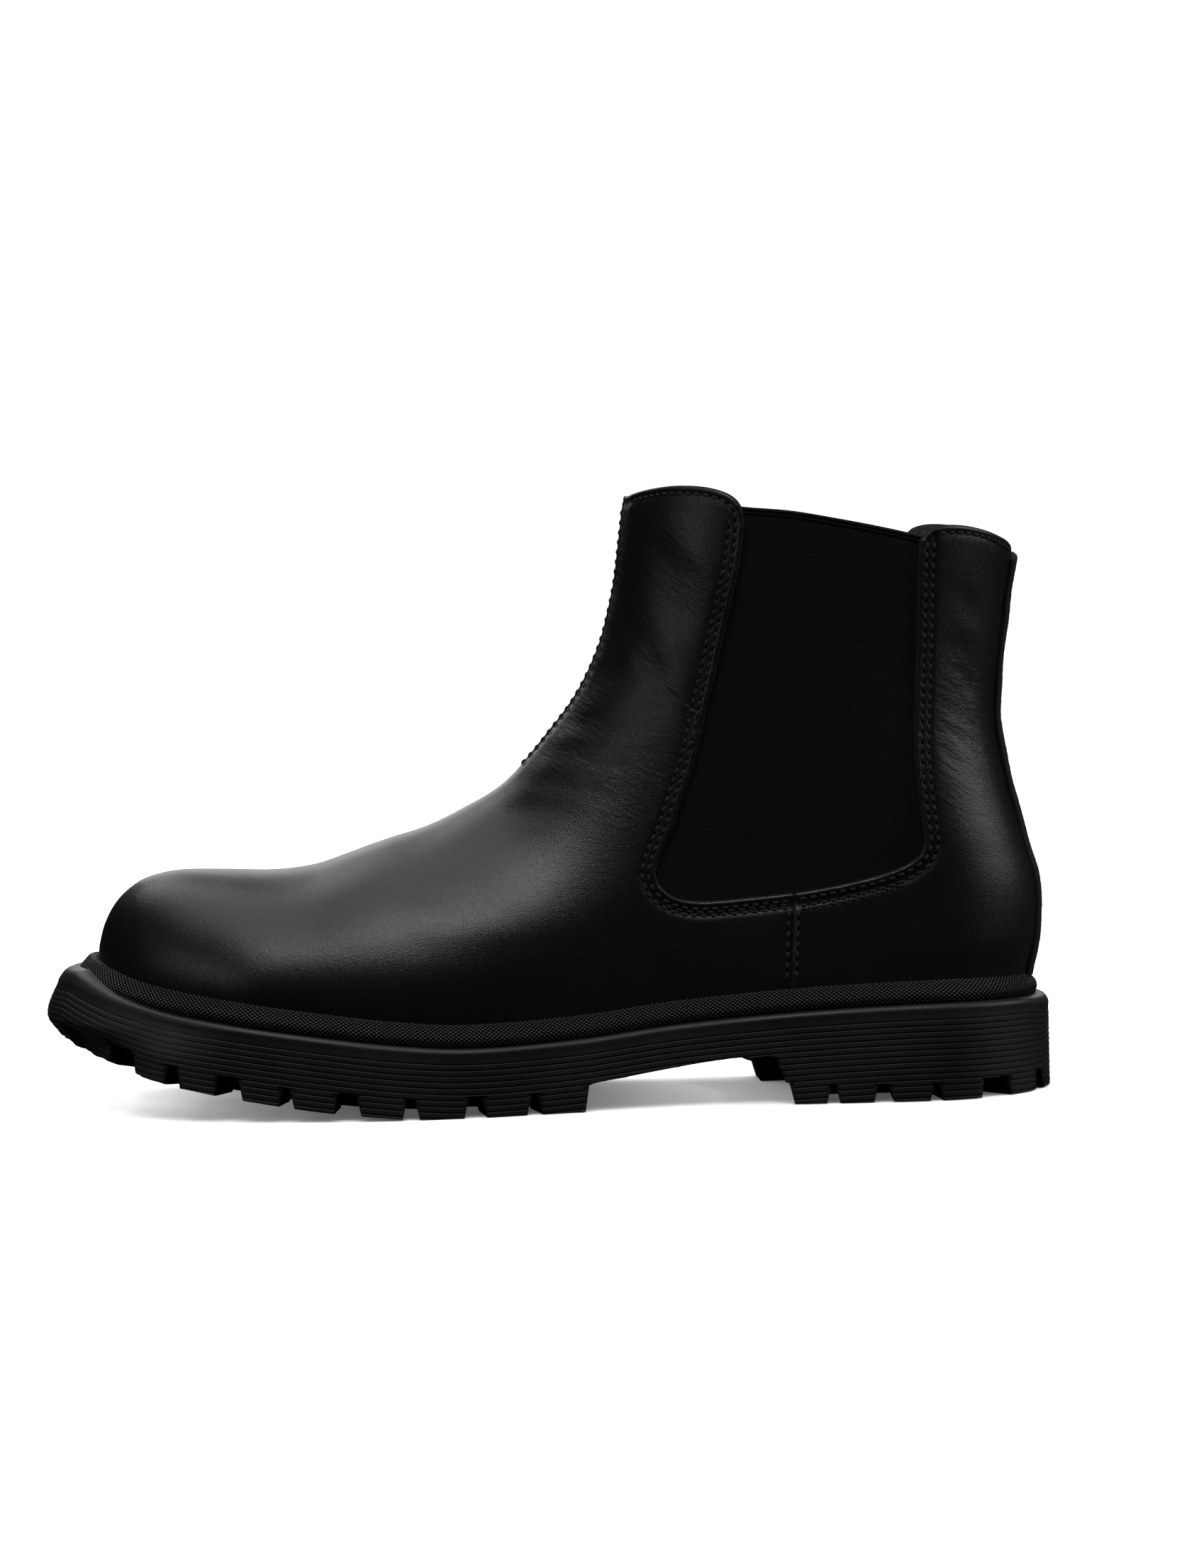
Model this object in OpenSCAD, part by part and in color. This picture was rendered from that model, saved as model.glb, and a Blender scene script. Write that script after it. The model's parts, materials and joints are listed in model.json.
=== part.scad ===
// Chelsea boot, left foot, EU 42-43, lug sole, elastic side gores.
// Frame: origin under the middle of the outsole, +X to the heel, toe at -X,
// -Y the lateral (outer) side, +Z up, lug faces on z = 0. Millimetres.

/* [Sole] */
// how far the toe end of the sole reaches forward of the origin
sole_toe = 152.5; // [140:0.1:165]
// how far the heel end of the sole reaches back of the origin
sole_heel = 152.5; // [140:0.1:165]
// depth of the tread lugs
lug_depth = 6.3; // [4:0.1:8]
// how far the edge notches run in from the side of the sole
notch_depth = 17; // [8:0.5:25]
// height of the textured rand above the sole
rand_height = 7.2; // [5:0.1:10]
// thickness of the rand
rand_thickness = 3.6; // [2:0.1:5]

/* [Upper] */
// margin from the edge of the sole to the upper
upper_inset = 6; // [4:0.1:9]
// thickness of the leather
leather = 2; // [1.2:0.1:2.6]
// thickness of the elastic
elastic = 1.5; // [1:0.1:2.5]
// thickness of the lining
lining = 1; // [0.6:0.1:1.5]
// thickness of the strap up the back
strap = 1.3; // [0.8:0.1:2]
// half width of the strap up the back
strap_half = 8.5; // [6:0.5:14]
// height of the stitch tubes above the leather
stitch = 0.45; // [0.2:0.05:0.8]

/* [Footbed] */
// thickness of the insole board
board = 2.2; // [1.5:0.1:3]
// thickness of the footbed
footbed_thick = 4; // [2:0.1:7]

/* [Flex] */
// x of the ball line where the sole bends
ball_x = -40; // [-50:1:-30]
// half width of the saw cut that stands in for the bend
ball_gap = 0.15; // [0.1:0.05:0.5]

/* [Hidden] */

// ---- profile of the sole, all in the x-z plane ----
// top face of the sole under the rand
sole_top = [[-156, 46], [-146, 42.5], [-140, 39.8], [-131, 36.2], [-116, 32.3], [-95, 28.9],
  [-68, 25], [-43, 21.8], [-22, 20.4], [10, 21.6], [38, 24.6], [75, 27.4], [112, 28.8],
  [148, 28.5], [158, 28.5]];
// tips of the lugs
lug_face = [[-147, 21], [-132, 16.4], [-115, 11.4], [-100, 8.2], [-84, 5.4], [-67, 2.8],
  [-50, 0.9], [-38, 0], [12.5, 0]];
// tread edge notches: x from, x to
front_notches = [[-147, -142.2], [-132.7, -123.3], [-113.3, -109], [-98, -90.2], [-79, -75], [-62.6, -55.2],
  [-42.4, -38], [-24.3, -18.1], [-5.8, -1.9]];
heel_notches = [[83, 86.3], [97, 102.3], [113.7, 117.2], [129.3, 138.3]];
// half widths of the sole, lateral and medial, from the line y = 0
half_lat = [[-155, 47], [-110, 50.5], [-75, 55], [-45, 56.2], [-20, 53.6], [10, 46.5], [40, 41],
  [70, 40], [100, 40.5], [130, 39.5], [155, 37]];
half_med = [[-155, 49], [-110, 52], [-75, 55.5], [-50, 53.2], [-20, 47], [10, 40], [35, 37.5],
  [60, 38], [90, 39.5], [120, 39.5], [155, 37]];
// how far the centre line of the toe swings to the medial side
centre_y = [[-155, 4], [-120, 3], [-80, 0.8], [-50, 0], [155, 0]];

// ---- profile of the upper ----
upper_toe = -136.4;
// ridge of the toe and instep, x and z
ridge_foot = [[-136.4, 47], [-136, 49.5], [-134.2, 55.7], [-130.3, 62.4], [-124, 67.8],
  [-118, 70.2], [-110, 71.4], [-96, 71.2], [-82, 70.8], [-70, 72.1], [-60, 75.2], [-52, 78],
  [-45, 80.2], [-40, 81.6]];
// front ridge of the instep and shaft, x and z
ridge_shaft = [[-50, 78.7], [-45, 80.2], [-35.5, 83], [-23, 88.8], [-12, 95.1], [-3, 104],
  [3.5, 111.7], [10, 119.9], [15, 128.5], [18.7, 136.7], [21.3, 145.7], [23.4, 154.7],
  [25, 165.5], [26.4, 175.7], [27.6, 184], [28.4, 192]];
// back line of the leather, z and x
back_line = [[24, 145.2], [29, 145.9], [34, 146.4], [38, 147.2], [45, 148.6], [51, 149.3],
  [56, 149.5], [64, 148.7], [72, 146.6], [84, 143.4], [97, 140.4], [106, 138.8], [114, 138.2],
  [125, 138.8], [137, 140.3], [150, 142.2], [160, 143.9], [175, 146], [196, 148.5]];
// half width of the shaft against height
shaft_half = [[40, 35], [60, 35.2], [80, 36], [105, 36.6], [130, 38.2], [160, 41], [190, 43.5]];
// pivot of the fan of construction lines on the shaft
fan = [-45, 198];

// ---- outlines in the x-z plane ----
collar_front = [[20, 178.5], [27, 181.3], [32.5, 182.9], [40.5, 183.9], [48.6, 183.5],
  [54.9, 182.2], [59.2, 180.2], [61.8, 177.2], [62.7, 171.9]];
gore_front = [[62.7, 171.9], [61.2, 160.2], [58, 147.5], [54.9, 136.8], [52.7, 128],
  [50, 118.2], [47.4, 107.5], [45.2, 99.7], [42.2, 91.9], [39.3, 83.1], [36.4, 76.9],
  [34.6, 72.4], [33.9, 69]];
gore_bottom = [[33.9, 69], [35.2, 65.4], [38.4, 62.3], [42.2, 60.8], [48.4, 60.2],
  [60.4, 60.9], [74.6, 62.1], [78.3, 62.5], [90.8, 64.6], [102.7, 67.5], [109.1, 70.2],
  [112.7, 73.1], [114, 76.6]];
gore_rear = [[114, 76.6], [113.7, 81.2], [113, 90.5], [112.4, 99.7], [112.3, 105.5],
  [113.2, 124.1], [114.1, 142.6], [114.9, 160], [115.3, 166.2]];
collar_rear = [[115.3, 166.2], [118.6, 169.3], [124.8, 170.1], [133.4, 168.7], [140.8, 166.2],
  [150, 161.5]];
gore_top = [[54, 178.2], [75.8, 175.6], [90, 172.9], [115.3, 167.2], [125, 165]];
seam = [[74.6, 62.1], [72.8, 20]];

// ---- helpers ----
function pick(t, x, i = 1) = i >= len(t) - 1 || x < t[i][0] ? i - 1 : pick(t, x, i + 1);
function slope(t, i) = i <= 0 ? (t[1][1] - t[0][1]) / (t[1][0] - t[0][0])
  : i >= len(t) - 1 ? (t[i][1] - t[i - 1][1]) / (t[i][0] - t[i - 1][0])
  : (t[i + 1][1] - t[i - 1][1]) / (t[i + 1][0] - t[i - 1][0]);
function herm(a, b, ma, mb, h, s) = (2 * s * s * s - 3 * s * s + 1) * a
  + (s * s * s - 2 * s * s + s) * h * ma + (3 * s * s - 2 * s * s * s) * b
  + (s * s * s - s * s) * h * mb;
function seg(t, x, i) = herm(t[i][1], t[i + 1][1], slope(t, i), slope(t, i + 1),
  t[i + 1][0] - t[i][0], (x - t[i][0]) / (t[i + 1][0] - t[i][0]));
// smooth curve through a table of [x, value]
function along(t, x) = x <= t[0][0] ? t[0][1]
  : x >= t[len(t) - 1][0] ? t[len(t) - 1][1] : seg(t, x, pick(t, x));
function clamp(v, a, b) = max(a, min(b, v));
function smooth(v) = let (s = clamp(v, 0, 1)) s * s * (3 - 2 * s);
// quarter ellipse that rises from 0 to 1
function round_in(s) = let (c = clamp(s, 0, 1)) sqrt(max(0, 1 - (1 - c) * (1 - c)));

// ---- surface of the upper ----
function feather(x) = along(sole_top, x) + 0.3;
function polar(p) = [atan2(p[1] - fan[1], p[0] - fan[0]), norm([p[0] - fan[0], p[1] - fan[1]])];
shaft_polar = [for (p = ridge_shaft) polar(p)];
// distance from the ridge at which the side is fully upright
round_depth = [[-95, 47], [-90, 47.6], [-70, 53.5], [-50, 56], [-30, 52], [-10, 50], [0, 50]];
function back_depth(z) = 34 + 11 * smooth((z - 60) / 110);
function plan_half(t, x) = (along(t, x) - upper_inset) * round_in((x - upper_toe) / 56);
function full_half(t, x, z) = let (k = smooth((z - 52) / 46) * smooth((x + 60) / 50))
  (1 - k) * plan_half(t, x) + k * along(shaft_half, z);
function tuck(x, z) = 1 - 0.045 * pow(clamp(1 - (z - feather(x)) / 16, 0, 1), 2);
function half_at(t, x, z, in, depth) = full_half(t, x, z) * tuck(x, z)
  * round_in(in / depth) * round_in((along(back_line, z) - x) / back_depth(z));

steps = 11;
toe_ribs = [for (i = [0:12]) upper_toe + (-45 - upper_toe) * (1 - cos(90 * i / 12)) * 0.985];
corner = atan2(feather(146) - fan[1], 146 - fan[0]);
open_ribs = concat([-90, -84, -78, -72, -66, -60.5, -55.5, -51.5, -48.5],
  [for (d = [5, 3.4, 2.1, 1.2, 0.6, 0.2]) corner - d]);
fan_ribs = concat(open_ribs, [corner],
  [for (i = [1:14]) corner + (-1.5 - corner) * (0.85 * i / 14 + 0.15 * pow(i / 14, 2))]);
// even in angle at the ridge end and, on closed ribs, at the back end too
function open_t(j) = 1 - cos(90 * j / steps);
function shut_t(j) = (1 - cos(180 * j / steps)) / 2;

function hit_floor(a, r, n) = n == 0 ? r
  : hit_floor(a, (feather(fan[0] + r * cos(a)) - fan[1]) / sin(a), n - 1);
function hit_back(a, r, n) = n == 0 ? r
  : hit_back(a, (along(back_line, fan[1] + r * sin(a)) - fan[0]) / cos(a), n - 1);
function ray_end(a) = a < corner - 0.001 ? hit_floor(a, 175 / abs(sin(a)), 12)
  : hit_back(a, 190 / cos(a), 12);

// lateral half of one rib: list of [x, z, half width lateral, half width medial]
function toe_rib(x) = let (top = along(ridge_foot, x), low = feather(x),
  depth = max(3, 0.82 * (top - low)))
  [for (j = [0:steps]) let (d = (top - low) * open_t(j), z = top - d)
    [x, z, half_at(half_lat, x, z, d, depth), half_at(half_med, x, z, d, depth)]];
function fan_rib(a) = let (r0 = along(shaft_polar, a), r1 = ray_end(a), shut = a > corner - 0.001,
  mix = smooth((a + 74) / (corner + 74)), dm = along(round_depth, a))
  [for (j = [0:steps]) let (d = (r1 - r0) * (mix * shut_t(j) + (1 - mix) * open_t(j)), r = r0 + d,
    x = fan[0] + r * cos(a), z = fan[1] + r * sin(a), w = shut && j == steps ? 0 : 1)
    [x, z, w * half_at(half_lat, x, z, d, dm), w * half_at(half_med, x, z, d, dm)]];
half_ribs = concat([for (x = toe_ribs) if (x < -46) toe_rib(x)], [for (a = fan_ribs) fan_rib(a)]);
shut_from = len([for (x = toe_ribs) if (x < -46) 1]) + len(open_ribs);
count = len(half_ribs);
span = 2 * steps;

// full ribs run from the lateral end over the ridge to the medial end
function place(h, side) = [h[0], along(centre_y, h[0]) + side * (side < 0 ? h[2] : h[3]), h[1]];
skin = [for (i = [0:count - 1]) [for (k = [0:span])
  k <= steps ? place(half_ribs[i][steps - k], -1) : place(half_ribs[i][k - steps], 1)]];
function at(i, k) = i < 0 ? skin[1][span - k]
  : k < 0 ? (i >= shut_from ? skin[i][span - 1] : skin[i][0])
  : k > span ? (i >= shut_from ? skin[i][1] : skin[i][span]) : skin[min(i, count - 1)][k];
function unit(v) = v / max(norm(v), 1e-9);
normals = [for (i = [0:count - 1]) [for (k = [0:span])
  unit(cross(at(i + 1, k) - at(i - 1, k), at(i, k + 1) - at(i, k - 1)))]];

// closed shell between two depths under the outer face of the leather
function id(i, k) = i == 0 && k > steps ? span - k : i >= shut_from && k == span
  ? i * (span + 1) : i * (span + 1) + k;
layer = count * (span + 1);
grid_faces = [for (i = [0:count - 2]) for (k = [0:span - 1])
  for (f = [[id(i, k), id(i + 1, k + 1), id(i + 1, k)], [id(i, k), id(i, k + 1), id(i + 1, k + 1)]])
    if (f[0] != f[1] && f[1] != f[2] && f[2] != f[0]) f];
function flip(f) = [f[2] + layer, f[1] + layer, f[0] + layer];
rim = concat([for (i = [0:shut_from - 1]) [id(i + 1, 0), id(i, 0)]],
  [for (i = [0:shut_from - 1]) [id(i, span), id(i + 1, span)]],
  [for (k = [0:span - 1]) [id(count - 1, k), id(count - 1, k + 1)]]);
rim_faces = [for (e = rim) for (f = [[e[1], e[0], e[1] + layer], [e[1] + layer, e[0], e[0] + layer]])
  f];
module shell(a, b) {
  polyhedron(points = concat(
      [for (i = [0:count - 1]) for (k = [0:span]) skin[i][k] - a * normals[i][k]],
      [for (i = [0:count - 1]) for (k = [0:span]) skin[i][k] - b * normals[i][k]]),
    faces = concat(grid_faces, [for (f = grid_faces) flip(f)], rim_faces), convexity = 8);
}
// solid prism across the boot from an outline in the x-z plane
module side_prism(y0 = -90, y1 = 90) {
  translate([0, y1, 0])
    rotate([90, 0, 0])
      linear_extrude(y1 - y0)
        children();
}
module panel(a, b, y0 = -90, y1 = 90) {
  resize([0, 0, 0])
    intersection() {
      shell(a, b);
      side_prism(y0, y1)
        children();
    }
}

// ---- flat outlines ----
module gore_2d() {
  polygon(concat(gore_front, gore_bottom, gore_rear,
    [[115.3, 167.2], [90, 172.9], [75.8, 175.6], [62.9, 177]]));
}
module gore_hidden_2d(margin) {
  intersection() {
    offset(r = margin, $fn = 20)
      gore_2d();
    polygon(concat([[20, 40], [20, 181.5]], gore_top, [[140, 160], [140, 40]]));
  }
}
module front_2d(edge = 0) {
  offset(delta = -edge)
    difference() {
      polygon(concat([[-160, 0], [-160, 120], [-20, 172]], collar_front, gore_front,
        gore_bottom, [[114, 66]], [[114, 0]]));
      polygon([seam[0], [74.6, 80], [140, 80], [140, 0], [72, 0], seam[1]]);
    }
}
module rear_2d(edge = 0) {
  offset(delta = -edge)
    difference() {
      polygon(concat([[35, 0], [35, 58]], gore_bottom, gore_rear, collar_rear, [[175, 155], [175, 0]]));
      polygon([seam[0], [74.6, 90], [20, 90], [20, 0], [72, 0], seam[1]]);
    }
}
// ring that follows the gore opening at a distance
module gore_ring(d, w) {
  difference() {
    offset(delta = d + w / 2)
      gore_2d();
    offset(delta = d - w / 2)
      gore_2d();
    polygon([[61, 176], [80, 230], [130, 230], [114, 166.5], [90, 172.6]]);
  }
}
module topline_ring(d, w) {
  difference() {
    children(0);
    offset(delta = -(d + w))
      children(0);
  }
}

// ---- plan outlines ----
function plan_side(inset, toe, heel, side, n = 30) = [for (i = [0:n]) let (
  x = toe + (heel - toe) * (1 - cos(180 * i / n)) / 2,
  w = (along(side < 0 ? half_lat : half_med, x) - inset)
    * round_in((x - toe) / 58) * round_in((heel - x) / 40))
  [x, along(centre_y, x) + side * w]];
function turned(v) = [for (i = [len(v) - 2:-1:1]) v[i]];
module plan_2d(inset, toe, heel) {
  polygon(concat(plan_side(inset, toe, heel, -1), turned(plan_side(inset, toe, heel, 1))));
}
function top_line(x0, x1, up, n) = [for (i = [0:n]) let (x = x0 + (x1 - x0) * i / n)
  [x, along(sole_top, x) + up]];
// layer that follows the top of the sole
module sheet(inset, toe, heel, low, high, x0 = -200, x1 = 200) {
  a = max(toe - 2, x0);
  b = min(heel + 2, x1);
  intersection() {
    translate([0, 0, -5])
      linear_extrude(120)
        plan_2d(inset, toe, heel);
    side_prism()
      polygon(concat(top_line(a, b, low, 22), [for (i = [22:-1:0]) top_line(a, b, high, 22)[i]]));
  }
}

// ---- sole ----
function lugs(x) = along(lug_face, x);
module sole_side_2d() {
  polygon(concat(
    [[-147, 21], [-152.5, 27.4], [-152.5, 31.5], [-151, 38], [-146.8, 42.8]],
    [for (i = [1:26]) let (x = -146 + 297 * i / 26) [x, along(sole_top, x)]],
    [[152.5, 26.5], [152.5, 6], [151.7, 0], [72.8, 0], [68.4, 14.2], [57, 14.2], [48, 13.4],
      [36, 11.6], [24, 9.8], [13, 8.4], [11.5, 0], [-38, 0]],
    [for (i = [6:-1:1]) lug_face[i]]));
}
module notches(list, floor_from_lugs) {
  for (n = list) {
    mid = (n[0] + n[1]) / 2;
    h = floor_from_lugs ? lugs(mid) + lug_depth : lug_depth;
    for (s = [-1, 1]) {
      w = along(s < 0 ? half_lat : half_med, mid) * round_in((mid + sole_toe) / 62)
        * round_in((sole_heel - mid) / 42) + 6 * max(0, 1 - (mid + sole_toe) / 30);
      y = along(centre_y, mid) + s * w;
      translate([n[0], s < 0 ? y - 20 : y - notch_depth, -3])
        cube([n[1] - n[0], notch_depth + 20, h + 3]);
    }
  }
}
// two long channels and the cross cuts of the middle tread
module middle_tread(list, floor_from_lugs) {
  for (n = list) {
    mid = (n[0] + n[1]) / 2;
    h = floor_from_lugs ? lugs(mid) + lug_depth : lug_depth;
    translate([n[0] + 0.4, -14, -3])
      cube([2.8, 28, h + 3]);
  }
}
module channels(x0, x1, y, w) {
  side_prism(y - w / 2, y + w / 2)
    polygon(concat([[x0, -5]], [for (i = [0:12]) let (x = x0 + (x1 - x0) * i / 12)
      [x, lugs(x) + lug_depth]], [[x1, -5]]));
}
module sole_body() {
  intersection() {
    translate([0, 0, -5])
      linear_extrude(60)
        plan_2d(0, -sole_toe, sole_heel);
    side_prism()
      sole_side_2d();
  }
}
module fore_half(s = ball_x - ball_gap) {
  intersection() {
    children();
    translate([-300, -150, -50])
      cube([300 + s, 300, 300]);
  }
}
module rear_half(s = ball_x + ball_gap) {
  intersection() {
    children();
    translate([s, -150, -50])
      cube([300, 300, 300]);
  }
}
module outsole_forepart() {
  color([0.05, 0.05, 0.055])
    difference() {
      fore_half()
        sole_body();
      notches([for (n = front_notches) if (n[0] < ball_x) n], true);
      middle_tread([for (n = front_notches) if (n[0] < ball_x - 4) n], true);
      for (y = [-22, 22])
        channels(-112, -36, y, 4);
      sheet(16, -128, 300, -1.6, 5, -110, ball_x - 6);
    }
}
module outsole_rear() {
  color([0.05, 0.05, 0.055])
    difference() {
      rear_half()
        sole_body();
      notches([for (n = front_notches) if (n[1] > ball_x) n], true);
      notches(heel_notches, false);
      middle_tread([for (n = front_notches) if (n[0] > ball_x) n], true);
      middle_tread(heel_notches, false);
      for (y = [-20, 20]) {
        channels(-44, 20, y, 4);
        translate([60, y - 2, -5])
          cube([72, 4, lug_depth + 5]);
      }
      translate([-12, -9, 18.2])
        cube([104, 18, 30]);
      translate([100, -20, 18])
        cube([30, 40, 30]);
    }
}

// ---- rand: a strip with a bulged outer face that follows the upper ----
function rand_path(n0, n1) = [for (i = [n0:n1]) let (q = i / 40, s = q < 1 ? -1 : 1,
  u = q < 1 ? 1 - q : q - 1, x = upper_toe - 0.5 + (147.9 - upper_toe) * (1 - cos(180 * u)) / 2)
  [x, along(centre_y, x) + s * rand_half(s < 0 ? half_lat : half_med, x)]];
function rand_half(t, x) = (along(t, x) - upper_inset + 0.6) * round_in((x - upper_toe + 0.5) / 56)
  * round_in((147.4 - x) / 34.5);
rand_all = [for (i = [0:79]) rand_path(i, i)[0]];
function tangent(p, i) = let (n = len(p)) unit(p[(i + 1) % n] - p[(i + n - 1) % n]);
function rand_out(p, i, d) = let (t = tangent(p, i)) [p[i][0] - d * t[1], p[i][1] + d * t[0]];
module rand_ring() {
  p = rand_all;
  n = len(p);
  w = [for (i = [0:n - 1]) for (q = [[0, 0.05], [rand_thickness, 0.05],
    [rand_thickness + 0.5, 0.5 * rand_height], [rand_thickness - 0.9, rand_height - 0.6],
    [0.9, rand_height], [0, rand_height - 0.5]])
    let (o = rand_out(p, i, q[0])) [o[0], o[1], along(sole_top, clamp(o[0], -146, 150)) + q[1] + 0.25]];
  polyhedron(points = w, faces = [for (i = [0:n - 1]) for (j = [0:5])
    let (a = i * 6 + j, b = i * 6 + (j + 1) % 6, c = ((i + 1) % n) * 6 + (j + 1) % 6,
      d = ((i + 1) % n) * 6 + j) for (f = [[a, b, c], [a, c, d]]) f], convexity = 8);
}
module rand_forepart() {
  color([0.08, 0.08, 0.085])
    resize([0, 0, 0])
      fore_half()
        rand_ring();
}
module rand_rear() {
  color([0.08, 0.08, 0.085])
    resize([0, 0, 0])
      rear_half()
        rand_ring();
}

// ---- inside the sole ----
bed_toe = -127;
bed_heel = 137.5;
bed_inset = 14;
module insole_board_forepart() {
  color([0.55, 0.42, 0.28])
    sheet(bed_inset, bed_toe, bed_heel, 0.2, board, -200, ball_x - ball_gap);
}
module insole_board_rear() {
  color([0.55, 0.42, 0.28])
    sheet(bed_inset, bed_toe, bed_heel, 0.2, board, ball_x + ball_gap, 200);
}
module cork_filler() {
  color([0.62, 0.45, 0.28])
    sheet(17, -127, 300, -1.5, 0, -109, ball_x - 7);
}
module shank() {
  color([0.6, 0.6, 0.62])
    difference() {
      intersection() {
        translate([-10, -7.5, 10])
          cube([100, 15, 30]);
        side_prism()
          polygon(concat(top_line(-10, 90, -1.9, 16),
            [for (i = [16:-1:0]) top_line(-10, 90, -0.3, 16)[i]]));
      }
      for (x = [-3, 83])
        translate([x, 0, 0])
          cylinder(h = 60, r = 1.6, $fn = 20);
    }
}
module heel_filler() {
  color([0.5, 0.45, 0.38])
    translate([100.2, -19.8, 18.2])
      cube([29.6, 39.6, 10]);
}
module footbed() {
  color([0.16, 0.15, 0.15])
    sheet(bed_inset, bed_toe, bed_heel, board + 0.2, board + 0.2 + footbed_thick);
}

// ---- upper ----
skin_in = leather + 0.3;
lining_out = skin_in + elastic + 0.35;
module vamp() {
  color([0.1, 0.1, 0.105])
    panel(0, leather)
      front_2d(0.3);
}
module vamp_lining() {
  color([0.22, 0.21, 0.2])
    panel(lining_out, lining_out + lining)
      front_2d(1.2);
}
module gore_lateral() {
  color([0.04, 0.04, 0.045])
    panel(skin_in, skin_in + elastic, -90, -3)
      gore_hidden_2d(7.2);
}
module gore_medial() {
  color([0.04, 0.04, 0.045])
    panel(skin_in, skin_in + elastic, 3, 90)
      gore_hidden_2d(7.5);
}
module front_stitching() {
  color([0.02, 0.02, 0.02])
    panel(-stitch, -0.05)
      intersection() {
        front_2d(0.6);
        union() {
          gore_ring(1.7, 0.8);
          gore_ring(4.2, 0.8);
          topline_ring(1.5, 0.8)
            front_2d(0.3);
        }
        polygon([[-40, 100], [-40, 200], [90, 200], [90, 20], [33, 20]]);
      }
}
module front_collar_tape() {
  color([0.1, 0.1, 0.1])
    panel(skin_in, skin_in + 0.9)
      intersection() {
        front_2d(1);
        translate([0, -11])
          difference() {
            polygon(concat([[0, 170], [10, 182]], collar_front, [[62, 120], [0, 120]]));
            offset(delta = -1)
              translate([0, -7])
                polygon(concat([[0, 170], [10, 182]], collar_front, [[90, 120], [0, 110]]));
          }
        polygon([[-20, 100], [-20, 200], [50, 200], [45, 100]]);
      }
}
module toe_puff() {
  color([0.3, 0.3, 0.3])
    panel(skin_in, skin_in + 1.2)
      polygon([[-150, 30], [-150, 90], [-100, 90], [-94, 60], [-100, 31.6], [-116, 34],
        [-131, 38]]);
}
module quarter_lateral() {
  color([0.1, 0.1, 0.105])
    panel(0, leather, -90, -0.2)
      rear_cut()
        rear_2d(0.3);
}
module quarter_medial() {
  color([0.1, 0.1, 0.105])
    panel(0, leather, 0.2, 90)
      rear_cut()
        rear_2d(0.3);
}
// the moving rear upper ends just above the sole
module rear_cut() {
  intersection() {
    children();
    polygon([[60, 30.3], [112, 31.2], [147, 30.6], [175, 30.6], [175, 200], [60, 200]]);
  }
}
module backstay() {
  color([0.06, 0.06, 0.06])
    panel(-strap - 0.3, -0.3, -strap_half, strap_half)
      polygon([[128, 36.6], [175, 36.6], [175, 161.9], [150, 161.9], [147, 163.3],
        [128, 168.9]]);
}
module heel_counter() {
  color([0.5, 0.42, 0.3])
    panel(skin_in, skin_in + elastic)
      polygon([[92, 32.5], [90, 46], [106, 54], [122, 62], [124.5, 70], [136, 78], [175, 84],
        [175, 32.5]]);
}
module quarter_lining() {
  color([0.22, 0.21, 0.2])
    panel(lining_out, lining_out + lining)
      rear_cut()
        rear_2d(1.2);
}
module rear_stitching() {
  color([0.02, 0.02, 0.02])
    panel(-stitch, -0.05)
      intersection() {
        rear_2d(0.6);
        union() {
          gore_ring(1.5, 0.8);
          gore_ring(3.6, 0.8);
          topline_ring(1.5, 0.8)
            rear_2d(0.3);
        }
        polygon([[70, 37.2], [128, 38], [128, 200], [70, 200]]);
      }
}
module rear_collar_tape() {
  color([0.1, 0.1, 0.1])
    panel(skin_in, skin_in + 0.9)
      polygon([[127, 168], [127, 158], [175, 148], [175, 158]]);
}

outsole_rear();
rand_rear();
insole_board_rear();
shank();
heel_filler();
footbed();
vamp();
vamp_lining();
gore_lateral();
gore_medial();
front_stitching();
front_collar_tape();
outsole_forepart();
rand_forepart();
insole_board_forepart();
cork_filler();
toe_puff();
quarter_lateral();
quarter_medial();
backstay();
heel_counter();
quarter_lining();
rear_stitching();
rear_collar_tape();
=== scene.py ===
"""Looks of the chelsea boot, built over the CAD frame: leather, elastic gores, rand and lug sole."""
import json
import math

import bmesh
import bpy
import numpy as np
from mathutils import Matrix, Vector
from mathutils.geometry import delaunay_2d_cdt


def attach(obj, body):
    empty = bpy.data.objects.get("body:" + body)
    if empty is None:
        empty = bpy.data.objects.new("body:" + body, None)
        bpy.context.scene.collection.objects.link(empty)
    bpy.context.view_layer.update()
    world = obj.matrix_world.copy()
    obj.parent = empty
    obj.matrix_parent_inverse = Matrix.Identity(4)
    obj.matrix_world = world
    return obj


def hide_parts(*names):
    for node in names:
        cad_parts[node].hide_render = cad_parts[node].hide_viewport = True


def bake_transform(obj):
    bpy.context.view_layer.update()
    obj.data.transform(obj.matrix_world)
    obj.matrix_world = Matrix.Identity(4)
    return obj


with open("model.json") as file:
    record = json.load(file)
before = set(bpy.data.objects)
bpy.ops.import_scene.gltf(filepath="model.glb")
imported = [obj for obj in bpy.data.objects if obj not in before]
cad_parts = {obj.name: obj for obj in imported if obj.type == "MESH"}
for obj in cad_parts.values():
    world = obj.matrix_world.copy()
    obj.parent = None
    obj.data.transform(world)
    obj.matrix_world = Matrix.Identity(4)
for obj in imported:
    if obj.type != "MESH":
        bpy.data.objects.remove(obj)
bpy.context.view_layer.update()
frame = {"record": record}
MM = 0.001

# ---------------------------------------------------------------- profiles, in millimetres
SOLE_TOE, SOLE_HEEL = -152.5, 152.5
TOE_ROUND, HEEL_ROUND = 58, 40
NOTCH_DEPTH = 17.0     # how far in from the wall the edge lugs reach
UPPER_INSET, UPPER_TOE = 6.0, -136.4
FAN = (-45.0, 198.0)   # x, z from which the ribs of the shaft fan out; the toe's ribs end at this x


def table(*pairs):
    """Rows of numbers as an array; each curve below is one."""
    return np.array(pairs, float)


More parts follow.
